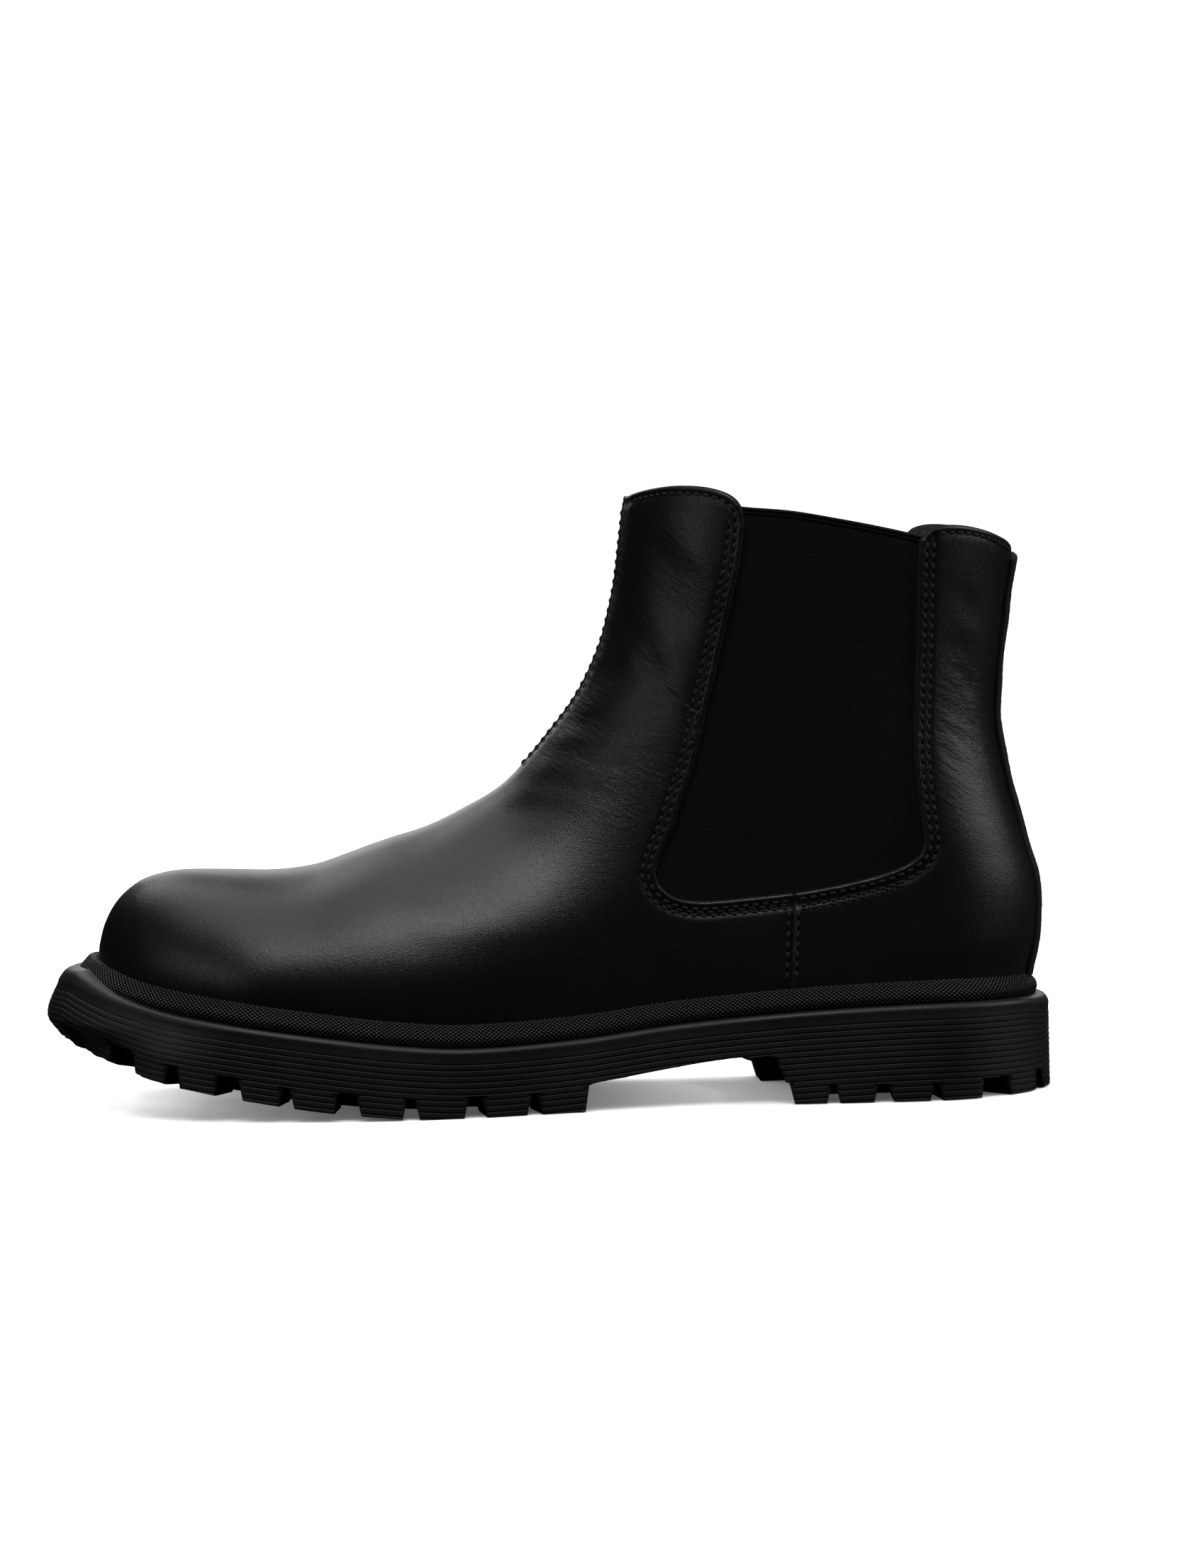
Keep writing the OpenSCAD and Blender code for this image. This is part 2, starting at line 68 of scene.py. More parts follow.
SOLE_TOP = table((-156, 46), (-146, 42.5), (-140, 39.8), (-131, 36.2), (-116, 32.3), (-95, 28.9),
                 (-68, 25), (-43, 21.8), (-22, 20.4), (10, 21.6), (38, 24.6), (75, 27.4), (112, 28.8),
                 (148, 28.5), (158, 28.5))
LUG_FACE = table((-152.5, 22.5), (-147, 21), (-132, 16.4), (-115, 11.4), (-100, 8.2), (-84, 5.4),
                 (-67, 2.8), (-50, 0.9), (-38, 0), (12.5, 0), (160, 0))
HALF_LAT = table((-155, 47), (-110, 50.5), (-75, 55), (-45, 56.2), (-20, 53.6), (10, 46.5), (40, 41),
                 (70, 40), (100, 40.5), (130, 39.5), (155, 37))
HALF_MED = table((-155, 49), (-110, 52), (-75, 55.5), (-50, 53.2), (-20, 47), (10, 40), (35, 37.5),
                 (60, 38), (90, 39.5), (120, 39.5), (155, 37))
CENTRE_Y = table((-155, 4), (-120, 3), (-80, 0.8), (-50, 0), (155, 0))
RIDGE_FOOT = table((-136.4, 47), (-136, 49.5), (-134.2, 55.7), (-130.3, 62.4), (-124, 67.8), (-118, 70.2),
                   (-110, 71.4), (-96, 71.2), (-82, 70.8), (-70, 72.1), (-60, 75.2), (-52, 78),
                   (-45, 80.2), (-40, 81.6))
RIDGE_SHAFT = table((-50, 78.7), (-45, 80.2), (-35.5, 83), (-23, 88.8), (-12, 95.1), (-3, 104),
                    (3.5, 111.7), (10, 119.9), (15, 128.5), (18.7, 136.7), (21.3, 145.7), (23.4, 154.7),
                    (25, 165.5), (26.4, 175.7), (27.6, 184), (28.4, 192))
BACK_LINE = table((24, 145.2), (29, 145.9), (34, 146.4), (38, 147.2), (45, 148.6), (51, 149.3),
                  (56, 149.5), (64, 148.7), (72, 146.6), (84, 143.4), (97, 140.4), (106, 138.8),
                  (114, 138.2), (125, 138.8), (137, 140.3), (150, 142.2), (160, 143.9), (175, 146),
                  (196, 148.5))
SHAFT_HALF = table((40, 35), (60, 35.2), (80, 36), (105, 36.6), (130, 38.2), (160, 41), (190, 43.5))
ROUND_DEPTH = table((-95, 47), (-90, 47.6), (-70, 53.5), (-50, 56), (-30, 52), (-10, 50), (0, 50))

COLLAR_FRONT = table((27.2, 181.4), (32.5, 182.9), (40.5, 183.9), (48.6, 183.5), (54.3, 182.2),
                     (58.3, 180.2), (60.7, 177.1), (61.5, 171.9))
GORE_FRONT = table((61.5, 171.9), (59.8, 160.2), (56.8, 147.5), (54, 136.8), (52, 128), (49.3, 118.2),
                   (46.9, 107.5), (44.6, 99.7), (41.6, 91.9), (38.7, 83.1), (35.7, 76.9), (33.9, 72.4),
                   (33.2, 69))
GORE_BOTTOM = table((33.2, 69), (34.6, 65.4), (38, 62.3), (42.2, 60.8), (48.4, 60.2), (60.4, 60.9),
                    (74.6, 62.1), (78.3, 62.5), (90.8, 64.6), (102.7, 67.5), (109.1, 70.2), (112.7, 73.1),
                    (114, 76.6))
GORE_REAR = table((114, 76.6), (113.6, 81.2), (112.7, 90.5), (112, 99.7), (111.9, 105.5), (112.7, 124.1),
                  (113.5, 142.6), (114.1, 160), (114.6, 166.2))
COLLAR_REAR = table((114.6, 166.2), (118.1, 169.3), (124.8, 170.1), (133.4, 168.7), (140.8, 165.8),
                    (144.6, 163.2))
GORE_TOP = table((54, 178.2), (62.9, 177), (75.8, 175.6), (90, 172.9), (104, 169.9), (115.3, 167.2),
                 (124, 165.2))
SEAM = table((74.6, 62.1), (73.2, 36))
COUNTER_TOP = table((92, 34), (90.5, 46), (106, 54), (121, 62), (127, 70), (136, 76.5), (143.5, 79))


# ---------------------------------------------------------------- curves
def hermite(s, a, ma, b, mb):
    """Cubic from a to b with slopes ma and mb."""
    return ((2 * s ** 3 - 3 * s * s + 1) * a + (s ** 3 - 2 * s * s + s) * ma
            + (3 * s * s - 2 * s ** 3) * b + (s ** 3 - s * s) * mb)


def along(t, q):
    """The smooth curve through a table of (x, value), the same cubic as the CAD's."""
    x, y = t[:, 0], t[:, 1]
    m = np.empty(len(x))
    m[0] = (y[1] - y[0]) / (x[1] - x[0])
    m[-1] = (y[-1] - y[-2]) / (x[-1] - x[-2])
    m[1:-1] = (y[2:] - y[:-2]) / (x[2:] - x[:-2])
    q = np.clip(np.asarray(q, float), x[0], x[-1])
    i = np.clip(np.searchsorted(x, q, side="right") - 1, 0, len(x) - 2)
    h = x[i + 1] - x[i]
    return hermite((q - x[i]) / h, y[i], h * m[i], y[i + 1], h * m[i + 1])


def smooth(v):
    """Smooth step from 0 to 1."""
    v = np.clip(v, 0, 1)
    return v * v * (3 - 2 * v)


def round_in(s):
    """Quarter circle: rises steeply from 0 at s = 0 and is level at 1 from s = 1 on."""
    s = np.clip(s, 0, 1)
    return np.sqrt(np.maximum(0, 1 - (1 - s) ** 2))


def bell(v, width):
    return np.exp(-(np.asarray(v) / width) ** 2)


def spline(points, step):
    """A smooth polyline through points in the plane, sampled about every step."""
    p = np.asarray(points, float)
    out = []
    for i in range(len(p) - 1):
        a, b = p[i], p[i + 1]
        ma = (b - a) if i == 0 else (b - p[i - 1]) / 2
        mb = (b - a) if i == len(p) - 2 else (p[i + 2] - a) / 2
        length = np.linalg.norm(b - a)
        ma, mb = [v / max(np.linalg.norm(v), 1e-9) * length for v in (ma, mb)]
        n = max(1, int(round(length / step)))
        out.append(hermite((np.arange(n) / n)[:, None], a, ma, b, mb))
    out.append(p[-1:])
    return np.vstack(out)


def resample(p, step):
    """A polyline with even steps of about this length."""
    p = np.asarray(p, float)
    d = np.r_[0, np.cumsum(np.linalg.norm(np.diff(p, axis=0), axis=1))]
    n = max(2, int(round(d[-1] / step)) + 1)
    s = np.linspace(0, d[-1], n)
    return np.column_stack([np.interp(s, d, p[:, k]) for k in range(p.shape[1])])


def shifted(p, d):
    """Polyline moved sideways by d, to the left of its direction."""
    t = np.gradient(p, axis=0)
    t /= np.maximum(np.linalg.norm(t, axis=1), 1e-9)[:, None]
    return p + d * np.column_stack([-t[:, 1], t[:, 0]])


def distance(p, line, block=4000):
    """Distance of each point in the plane to a polyline."""
    a, b = line[:-1], line[1:]
    ab = b - a
    l2 = np.maximum((ab ** 2).sum(1), 1e-12)
    out = np.empty(len(p))
    for i in range(0, len(p), block):
        q = p[i:i + block, None, :]
        t = np.clip(((q - a) * ab).sum(2) / l2, 0, 1)
        out[i:i + block] = np.sqrt(((q - (a + t[..., None] * ab)) ** 2).sum(2)).min(1)
    return out


def closed(loop):
    return np.vstack([loop, loop[:1]])


def inside(p, loop):
    """Even-odd test of points against a closed loop."""
    x, y = p[:, 0], p[:, 1]
    hit = np.zeros(len(p), bool)
    for a, b in zip(loop, np.roll(loop, -1, axis=0)):
        c = (a[1] > y) != (b[1] > y)
        if c.any():
            hit[c] ^= x[c] < (b[0] - a[0]) * (y[c] - a[1]) / (b[1] - a[1]) + a[0]
    return hit


# ---------------------------------------------------------------- the skin of the upper
def feather(x):
    """Height at which the upper meets the sole."""
    return along(SOLE_TOP, x) + 0.3


def plan_half(t, x):
    return (along(t, x) - UPPER_INSET) * round_in((x - UPPER_TOE) / 56)


def full_half(t, x, z):
    """Half width of the upper: the plan outline low down and in front, the shaft above."""
    k = smooth((z - 52) / 46) * smooth((x + 60) / 50)
    return (1 - k) * plan_half(t, x) + k * along(SHAFT_HALF, z)


def tuck(x, z):
    """The side turns in towards the sole, most along the waist and the ball."""
    waist = smooth((x + 92) / 20) * smooth((80 - x) / 20)
    up = z - feather(x)
    low = 0.045 * np.clip(1 - up / 16, 0, 1) ** 2
    return 1 - low - waist * (0.075 * np.clip(1 - up / 25, 0, 1) ** 2 - low)


def back_depth(z):
    """How far the back of the upper rounds in, at height z."""
    return 34 + 11 * smooth((z - 60) / 110)


def half_at(t, x, z, d, depth):
    """Half width at a point that is d along its rib, where the first depth of the rib rounds out."""
    behind = (along(BACK_LINE, z) - x) / back_depth(z)
    return full_half(t, x, z) * tuck(x, z) * round_in(d / depth) * round_in(behind)


RIDGE_POLAR = np.column_stack([np.degrees(np.arctan2(RIDGE_SHAFT[:, 1] - FAN[1], RIDGE_SHAFT[:, 0] - FAN[0])),
                               np.hypot(RIDGE_SHAFT[:, 0] - FAN[0], RIDGE_SHAFT[:, 1] - FAN[1])])
CORNER = math.degrees(math.atan2(float(feather(146)) - FAN[1], 146 - FAN[0]))
TOP_ANGLE = -1.5


def ray_end(a):
    """Radius at which a rib of the shaft meets the feather edge or the back line."""
    rad = np.radians(a)
    floor = 175 / np.abs(np.sin(rad))
    back = 190 / np.cos(rad) if np.ndim(rad) == 0 else 190 / np.maximum(np.cos(rad), 0.05)
    for _ in range(14):
        floor = (feather(FAN[0] + floor * np.cos(rad)) - FAN[1]) / np.sin(np.minimum(rad, -0.02))
        back = (along(BACK_LINE, FAN[1] + back * np.sin(rad)) - FAN[0]) / np.maximum(np.cos(rad), 0.05)
    return np.where(a < CORNER, floor, back)


def rib(u):
    """Angle of a shaft rib, or x of a toe rib, from the surface's first parameter."""
    u = np.asarray(u, float)
    x = UPPER_TOE + (FAN[0] - UPPER_TOE) * (1 - np.cos(np.pi / 2 * np.clip(u, 0, 1)))
    s = np.clip(u - 1, 0, 1)
    a = np.where(u <= 2, CORNER - (CORNER + 90) * (1 - s) ** 2, CORNER + (TOP_ANGLE - CORNER) * (u - 2))
    return x, a


def spread(u, a, v):
    """Share of a rib's length at v; the samples lie closest where the skin curves most."""
    mix = np.where(u < 1, 0, np.where(u >= 2, 1, smooth((a + 74) / (CORNER + 74))))
    return mix * (1 - np.cos(np.pi * v)) / 2 + (1 - mix) * (1 - np.cos(np.pi / 2 * v))


def rib_span(u, x, a):
    """Start and length of a rib, as (start, length): heights on the toe, radii on the shaft."""
    top, low = along(RIDGE_FOOT, x), feather(x)
    r0, r1 = along(RIDGE_POLAR, a), ray_end(a)
    return np.where(u < 1, top, r0), np.where(u < 1, top - low, r1 - r0)


def side_point(u, v):
    """x, z and the two half widths at the surface's parameters."""
    u, v = np.broadcast_arrays(np.asarray(u, float), np.asarray(v, float))
    v = np.clip(v, 0, 1)
    x0, a = rib(u)
    start, length = rib_span(u, x0, a)
    d = length * spread(u, a, v)
    rad = np.radians(a)
    x = np.where(u < 1, x0, FAN[0] + (start + d) * np.cos(rad))
    z = np.where(u < 1, start - d, FAN[1] + (start + d) * np.sin(rad))
    depth = np.where(u < 1, np.maximum(3, 0.82 * length), along(ROUND_DEPTH, a))
    keep = np.where((u >= 2) & (v > 1 - 1e-9), 0, 1) * np.where((u < 1e-9) | (v < 1e-9), 0, 1)
    return x, z, keep * half_at(HALF_LAT, x, z, d, depth), keep * half_at(HALF_MED, x, z, d, depth)


def surface(u, v, side):
    """Point on the outer face of the leather; side is -1 lateral, 1 medial."""
    x, z, wl, wm = side_point(u, v)
    return np.stack([x, along(CENTRE_Y, x) + side * np.where(side < 0, wl, wm), z], -1)


def find(x, z):
    """The surface's parameters of a point in the x-z plane."""
    x, z = np.asarray(x, float), np.asarray(z, float)
    toe = x < FAN[0]
    u1 = np.arccos(np.clip(1 - (x - UPPER_TOE) / (FAN[0] - UPPER_TOE), -1, 1)) / (np.pi / 2)
    a = np.degrees(np.arctan2(z - FAN[1], x - FAN[0]))
    r = np.hypot(x - FAN[0], z - FAN[1])
    u2 = np.where(a <= CORNER, 2 - np.sqrt(np.clip((CORNER - a) / (CORNER + 90), 0, 1)),
                  2 + (a - CORNER) / (TOP_ANGLE - CORNER))
    u = np.where(toe, u1, u2)
    xr, ar = rib(u)
    start, length = rib_span(u, xr, ar)
    q = np.clip(np.where(toe, start - z, r - start) / np.maximum(length, 1e-6), 0, 1)
    lo, hi = np.zeros_like(q), np.ones_like(q)
    for _ in range(40):
        mid = (lo + hi) / 2
        low = spread(u, ar, mid) < q
        lo, hi = np.where(low, mid, lo), np.where(low, hi, mid)
    return u, (lo + hi) / 2


# ---------------------------------------------------------------- mesh helpers
def make_object(name, verts, faces, materials, uv=None, face_material=None):
    """A mesh object from points in millimetres."""
    mesh = bpy.data.meshes.new(name)
    points = [tuple(v) for v in np.asarray(verts) * MM]
    mesh.from_pydata(points, [], [tuple(int(i) for i in f) for f in faces])
    for m in materials:
        mesh.materials.append(m)
    if face_material is not None:
        mesh.polygons.foreach_set("material_index", np.asarray(face_material, np.int32))
    if uv is not None:
        layer = mesh.uv_layers.new(name="surface")
        loop_vertex = np.empty(len(mesh.loops), np.int32)
        mesh.loops.foreach_get("vertex_index", loop_vertex)
        layer.data.foreach_set("uv", np.asarray(uv, np.float32)[loop_vertex].ravel())
    bm = bmesh.new()
    bm.from_mesh(mesh)
    bmesh.ops.remove_doubles(bm, verts=bm.verts, dist=1e-7)
    bmesh.ops.dissolve_degenerate(bm, edges=bm.edges, dist=1e-8)
    bmesh.ops.recalc_face_normals(bm, faces=bm.faces)
    bm.to_mesh(mesh)
    bm.free()
    mesh.validate()
    mesh.polygons.foreach_set("use_smooth", np.full(len(mesh.polygons), True))
    obj = bpy.data.objects.new(name, mesh)
    bpy.context.scene.collection.objects.link(obj)
    return obj


def ring_faces(count, m, base=0):
    """Faces of a closed tube of count rings with m points each, with both ends capped."""
    faces = []
    for i in range(base, base + (count - 1) * m, m):
        for j in range(m):
            k = (j + 1) % m
            faces.append((i + j, i + k, i + m + k, i + m + j))
    faces.append(tuple(range(base, base + m))[::-1])
    faces.append(tuple(range(base + (count - 1) * m, base + count * m)))
    return faces


def sharpen(obj, degrees):
    """Edges sharper than this stay crisp."""
    bm = bmesh.new()
    bm.from_mesh(obj.data)
    limit = math.radians(degrees)
    for e in bm.edges:
        if len(e.link_faces) == 2:
            e.smooth = e.calc_face_angle(0) < limit
    bm.to_mesh(obj.data)
    bm.free()
    return obj


def vertex_normals(verts, tris):
    n = np.zeros_like(verts)
    f = np.cross(verts[tris[:, 1]] - verts[tris[:, 0]], verts[tris[:, 2]] - verts[tris[:, 0]])
    for k in range(3):
        np.add.at(n, tris[:, k], f)
    return n / np.maximum(np.linalg.norm(n, axis=1), 1e-12)[:, None]


# scale of the parameter plane, in about millimetres
KU, KV = 100.0, 120.0


def triangulate(loop, extra, constraints=()):
    """Triangles that fill a closed loop in the plane and pass through the extra points."""
    pts = [loop]
    edges = [(i, (i + 1) % len(loop)) for i in range(len(loop))]
    base = len(loop)
    for c in constraints:
        pts.append(c)
        edges += [(base + i, base + i + 1) for i in range(len(c) - 1)]
        base += len(c)
    pts.append(extra)
    points = [Vector(p) for p in np.vstack([p for p in pts if len(p)])]
    outline = [list(range(len(loop)))]
    v, _, f, orig, _, _ = delaunay_2d_cdt(points, edges, outline, 1, 1e-6, True)
    v = np.array([tuple(p) for p in v])
    f = np.array([t for t in f if len(t) == 3], int)
    f = f[inside(v[f].mean(1), loop)]
    source = np.array([o[0] if len(o) else -1 for o in orig])
    return v, f, source


def boundary_loops(tris):
    """Closed runs of the edges that only one triangle has."""
    edges = [(t[k], t[(k + 1) % 3]) for t in tris for k in range(3)]
    known = set(edges)
    free = {a: b for a, b in edges if (b, a) not in known}
    loops = []
    while free:
        start = next(iter(free))
        loop = [start]
        nxt = free.pop(start)
        while nxt != start and nxt in free:
            loop.append(nxt)
            nxt = free.pop(nxt)
        loops.append(loop)
    return loops


def used_only(verts, faces):
    """The points that some face has, and the faces renumbered to them."""
    live = np.unique(np.concatenate([np.array(f) for f in faces]))
    remap = -np.ones(len(verts), int)
    remap[live] = np.arange(len(live))
    return verts[live], [[remap[i] for i in f] for f in faces]


def to_plane(line):
    """Polyline in x-z, as a polyline in the scaled parameter plane."""
    u, v = find(line[:, 0], line[:, 1])
    return np.column_stack([u * KU, v * KV])


def domain_edge(u0, u1, v, step=1.0):
    """Line of constant v in the scaled parameter plane."""
    n = max(2, int(abs(u1 - u0) * KU / step) + 1)
    u = np.linspace(u0, u1, n)
    return np.column_stack([u * KU, np.full(n, v * KV)])


# points of an outline that are closer than this in the parameter plane become one
MERGE = 0.12
# rows of points round a panel's rim, in degrees from its outer face
RIM_ANGLES = (30, 60, 90, 120, 150)


def thinned(loop):
    """The closed loop without points that almost meet."""
    keep = [0]
    for i in range(1, len(loop)):
        if np.linalg.norm(loop[i] - loop[keep[-1]]) > MERGE:
            keep.append(i)
    loop = loop[keep]
    return loop[:-1] if np.linalg.norm(loop[0] - loop[-1]) < MERGE else loop


def fill_points(loop, rows, spacing):
    """The rows inside the loop, and a staggered grid that keeps clear of them and of the edge."""
    lo, hi = loop.min(0), loop.max(0)
    gu = np.arange(lo[0] + spacing / 2, hi[0], spacing)
    gv = np.arange(lo[1] + spacing / 2, hi[1], spacing)
    grid = np.stack(np.meshgrid(gu, gv, indexing="ij"), -1)
    grid[::2, :, 1] += spacing / 2
    grid = grid.reshape(-1, 2)
    grid = grid[inside(grid, loop)]
    edge = closed(loop)
    grid = grid[distance(grid, edge) > spacing * 0.45]
    fine = [r[inside(r, loop)] for r in rows]
    fine = [r[distance(r, edge) > MERGE] for r in fine if len(r)]
    if not fine:
        return grid
    fine = np.vstack(fine)
    keep = np.ones(len(grid), bool)
    for i in range(0, len(grid), 2000):
        g = grid[i:i + 2000]
        keep[i:i + 2000] = np.sqrt(((g[:, None] - fine[None]) ** 2).sum(2)).min(1) > spacing * 0.5
    return np.vstack([fine, grid[keep]])


def rounded_rim(ring, outer, inner, normal, bulge, base):
    """Rows of points round the edge of a panel, and the faces that join its two sides through them."""
    po, pi = outer[ring], inner[ring]
    t = np.roll(po, -1, 0) - np.roll(po, 1, 0)
    t /= np.maximum(np.linalg.norm(t, axis=1), 1e-9)[:, None]
    b = np.cross(t, normal[ring])
    centre, half = (po + pi) / 2, (po - pi) / 2
    points, rows = [], [ring]
    for angle in np.radians(RIM_ANGLES):
        points.append(centre + half * math.cos(angle) + b * bulge * math.sin(angle))
        rows.append(np.arange(len(ring)) + base)
        base += len(ring)
    rows.append(ring + len(outer))
    faces = [np.column_stack([np.roll(p, -1), p, q, np.roll(q, -1)]) for p, q in zip(rows[:-1], rows[1:])]
    return points, faces, base


def shell(name, loop, rows, relief, thick, sides, materials, spacing=1.6, bulge=0.35):
    """A panel of the upper with thickness: loop bounds it in the parameter plane, and rows are polylines
    that it samples finely. relief(x, z, y) is how far its outer face lies above the skin."""
    loop = thinned(loop)
    v2, tris, _ = triangulate(loop, fill_points(loop, rows, spacing))
    u, v = v2[:, 0] / KU, v2[:, 1] / KV
    x, z, wl, wm = side_point(u, v)
    cy = along(CENTRE_Y, x)
    parts, faces = [], []
    shared = (v < 1e-6) | (u < 1e-6)
    for i, side in enumerate(sides):
        ids = np.arange(len(u)) + i * len(u)
        if i:
            ids = np.where(shared, np.arange(len(u)), ids)
        parts.append(np.column_stack([x, cy + side * (wl if side < 0 else wm), z]))
        faces.append(ids[tris] if side < 0 else ids[tris][:, ::-1])
    pts, tris = np.vstack(parts), np.vstack(faces)
    normal = vertex_normals(pts, tris)
    mid = pts[tris].mean(1)
    facing = np.cross(pts[tris[:, 1]] - pts[tris[:, 0]], pts[tris[:, 2]] - pts[tris[:, 0]])
    if (facing[:, 1] * (mid[:, 1] - along(CENTRE_Y, mid[:, 0]))).sum() < 0:
        tris, normal = tris[:, ::-1], -normal
    up = relief(*pts[:, [0, 2, 1]].T)
    outer = pts + normal * up[:, None]
    inner = pts + normal * (up - thick)[:, None]
    verts, rims = [outer, inner], []
    base = 2 * len(pts)
    for ring in boundary_loops(tris):
        points, joined, base = rounded_rim(np.array(ring), outer, inner, normal, bulge, base)
        verts += points
        rims += joined
    verts = np.vstack(verts)
    rims = [tuple(f) for r in rims for f in r]
    faces = [tuple(f) for f in np.vstack([tris, (tris + len(pts))[:, ::-1]])]
    kinds = [0] * len(faces) + [1 if len(materials) > 1 else 0] * len(rims)
    verts, faces = used_only(verts, faces + rims)
    return make_object(name, verts, faces, materials, verts[:, [0, 2]] * MM, kinds)


# ---------------------------------------------------------------- materials
class Nodes:
    """A few short calls that keep the node materials readable."""

    def __init__(self, name, base, rough, metal=0.0, spec=0.5):
        self.m = bpy.data.materials.new(name)
        self.m.use_nodes = True
        self.m.diffuse_color = (*base, 1)
        self.t = self.m.node_tree
        self.b = self.t.nodes["Principled BSDF"]
        self.set("Base Color", (*base, 1))
        self.set("Roughness", rough)
        self.set("Metallic", metal)
        self.set("Specular IOR Level", spec)

    def set(self, socket, value):
        self.b.inputs[socket].default_value = value

    def add(self, kind, **props):
        n = self.t.nodes.new(kind)
        for k, v in props.items():
            if k in n.inputs:
                n.inputs[k].default_value = v
            else:
                setattr(n, k, v)
        return n

    def link(self, a, b):
        self.t.links.new(a, b)

    def mapped(self, vec, **props):
        n = self.add("ShaderNodeMapping", **props)
        self.link(vec, n.inputs["Vector"])
        return n.outputs["Vector"]

    def coords(self, scale=(1, 1, 1), rotation=(0, 0, 0)):
        """Object coordinates, in metres, scaled and turned."""
        c = self.add("ShaderNodeTexCoord")
        return self.mapped(c.outputs["Object"], Scale=scale, Rotation=rotation)

    def slanted(self, degrees, scale):
        """Object coordinates turned about Y so that X runs down towards the heel, then scaled."""
        return self.mapped(self.coords(rotation=(0, math.radians(-degrees), 0)), Scale=scale)

    def texture(self, kind, vec, output, **props):
        n = self.add("ShaderNodeTex" + kind, **props)
        self.link(vec, n.inputs["Vector"])
        return n.outputs[output]

    def noise(self, vec, scale, detail=4.0, rough=0.55):
        return self.texture("Noise", vec, "Fac", Scale=scale, Detail=detail, Roughness=rough)

    def cells(self, vec, scale, feature="DISTANCE_TO_EDGE"):
        return self.texture("Voronoi", vec, "Distance", feature=feature, Scale=scale)

    def wave(self, vec, scale, direction="X"):
        return self.texture("Wave", vec, "Fac", bands_direction=direction, Scale=scale)

    def ramp(self, fac, a, b, low, high):
        n = self.add("ShaderNodeMapRange")
        for k, v in zip(("From Min", "From Max", "To Min", "To Max"), (a, b, low, high)):
            n.inputs[k].default_value = v
        self.link(fac, n.inputs["Value"])
        return n.outputs["Result"]

    def math(self, op, a, b):
        n = self.add("ShaderNodeMath", operation=op)
        for i, v in enumerate((a, b)):
            if isinstance(v, (int, float)):
                n.inputs[i].default_value = v
            else:
                self.link(v, n.inputs[i])
        return n.outputs[0]

    def tint(self, fac, dark, light):
        n = self.add("ShaderNodeMix", data_type="RGBA")
        n.inputs[6].default_value = (*dark, 1)
        n.inputs[7].default_value = (*light, 1)
        self.link(fac, n.inputs[0])
        self.link(n.outputs[2], self.b.inputs["Base Color"])

    def roughness(self, value):
        self.link(value, self.b.inputs["Roughness"])

    def bump(self, *layers):
        """Each layer is (height, distance in metres, strength)."""
        normal = None
        for height, dist, strength in layers:
            n = self.add("ShaderNodeBump", Distance=dist, Strength=strength)
            self.link(height, n.inputs["Height"])
            if normal is not None:
                self.link(normal, n.inputs["Normal"])
            normal = n.outputs["Normal"]
        self.link(normal, self.b.inputs["Normal"])


def grey(v, warm=0.0):
    return (v * (1 + warm), v, v * (1 - warm))


# where the leather folds at the ankle and the heel: centre in metres, slope in degrees
FOLDS = (((0.024, 0, 0.112), 28), ((0.126, 0, 0.108), 34), ((0.030, 0, 0.150), 40))


def leather_material(name="leather", base=0.0028, rough=0.31):
    """Smooth leather: fine grain and pores, broad creases, and folds where the shaft bends."""
    n = Nodes(name, grey(base), rough)
    o = n.coords()
    broad = n.noise(o, 14, 3)
    n.tint(n.ramp(broad, 0.3, 0.7, 0, 1), grey(base * 0.75, 0.01), grey(base * 1.3, 0.03))
    grain = n.cells(n.coords(scale=(0.8, 1, 1.15)), 1500)
    pores = n.noise(o, 2600, 2)
    crease = n.noise(n.coords(scale=(1, 1, 2.4)), 120, 5, 0.6)
    mix = n.math("ADD", n.math("MULTIPLY", n.ramp(grain, 0, 0.3, 0, 1), 0.75), n.math("MULTIPLY", pores, 0.2))
    pebble = n.noise(n.coords(scale=(0.55, 0.8, 1.3)), 900, 3, 0.6)
    n.roughness(n.math("ADD", n.ramp(broad, 0.3, 0.7, rough - 0.01, rough + 0.04),
                       n.math("MULTIPLY", pores, 0.06)))
    folds = None
    for centre, slope in FOLDS:
        far = n.add("ShaderNodeVectorMath", operation="DISTANCE")
        n.link(n.coords(scale=(1, 0, 1)), far.inputs[0])
        far.inputs[1].default_value = centre
        near = n.ramp(far.outputs["Value"], 0.004, 0.036, 1, 0)
        part = n.math("MULTIPLY", near, n.noise(n.slanted(slope, (1, 0.6, 3.6)), 190, 4, 0.6))
        folds = part if folds is None else n.math("ADD", folds, part)
    n.bump((crease, 0.0005, 0.07), (folds, 0.0008, 0.34), (pebble, 0.00008, 0.35), (mix, 0.00005, 0.7))
    return n.m


def rib_material():
    """Ribbed elastic: vertical cords with a fine cross weave and a woven top edge."""
    n = Nodes("elastic", grey(0.005), 0.86, spec=0.14)
    o = n.coords()
    cord = n.wave(o, 400)
    cross = n.wave(o, 500, "Z")
    fuzz = n.noise(o, 1900, 3)
    lint = n.cells(o, 210, "F1")
    n.tint(n.math("MULTIPLY", cord, n.ramp(fuzz, 0.3, 0.7, 0.75, 1)), grey(0.0012), grey(0.0075))
    n.roughness(n.ramp(fuzz, 0.3, 0.7, 0.75, 0.92))
    n.set("Sheen Weight", 0.03)
    n.set("Sheen Roughness", 0.5)
    n.bump((lint, 0.0002, 0.05), (cord, 0.0003, 0.9), (cross, 0.00018, 0.8), (fuzz, 0.0001, 0.3))
    return n.m


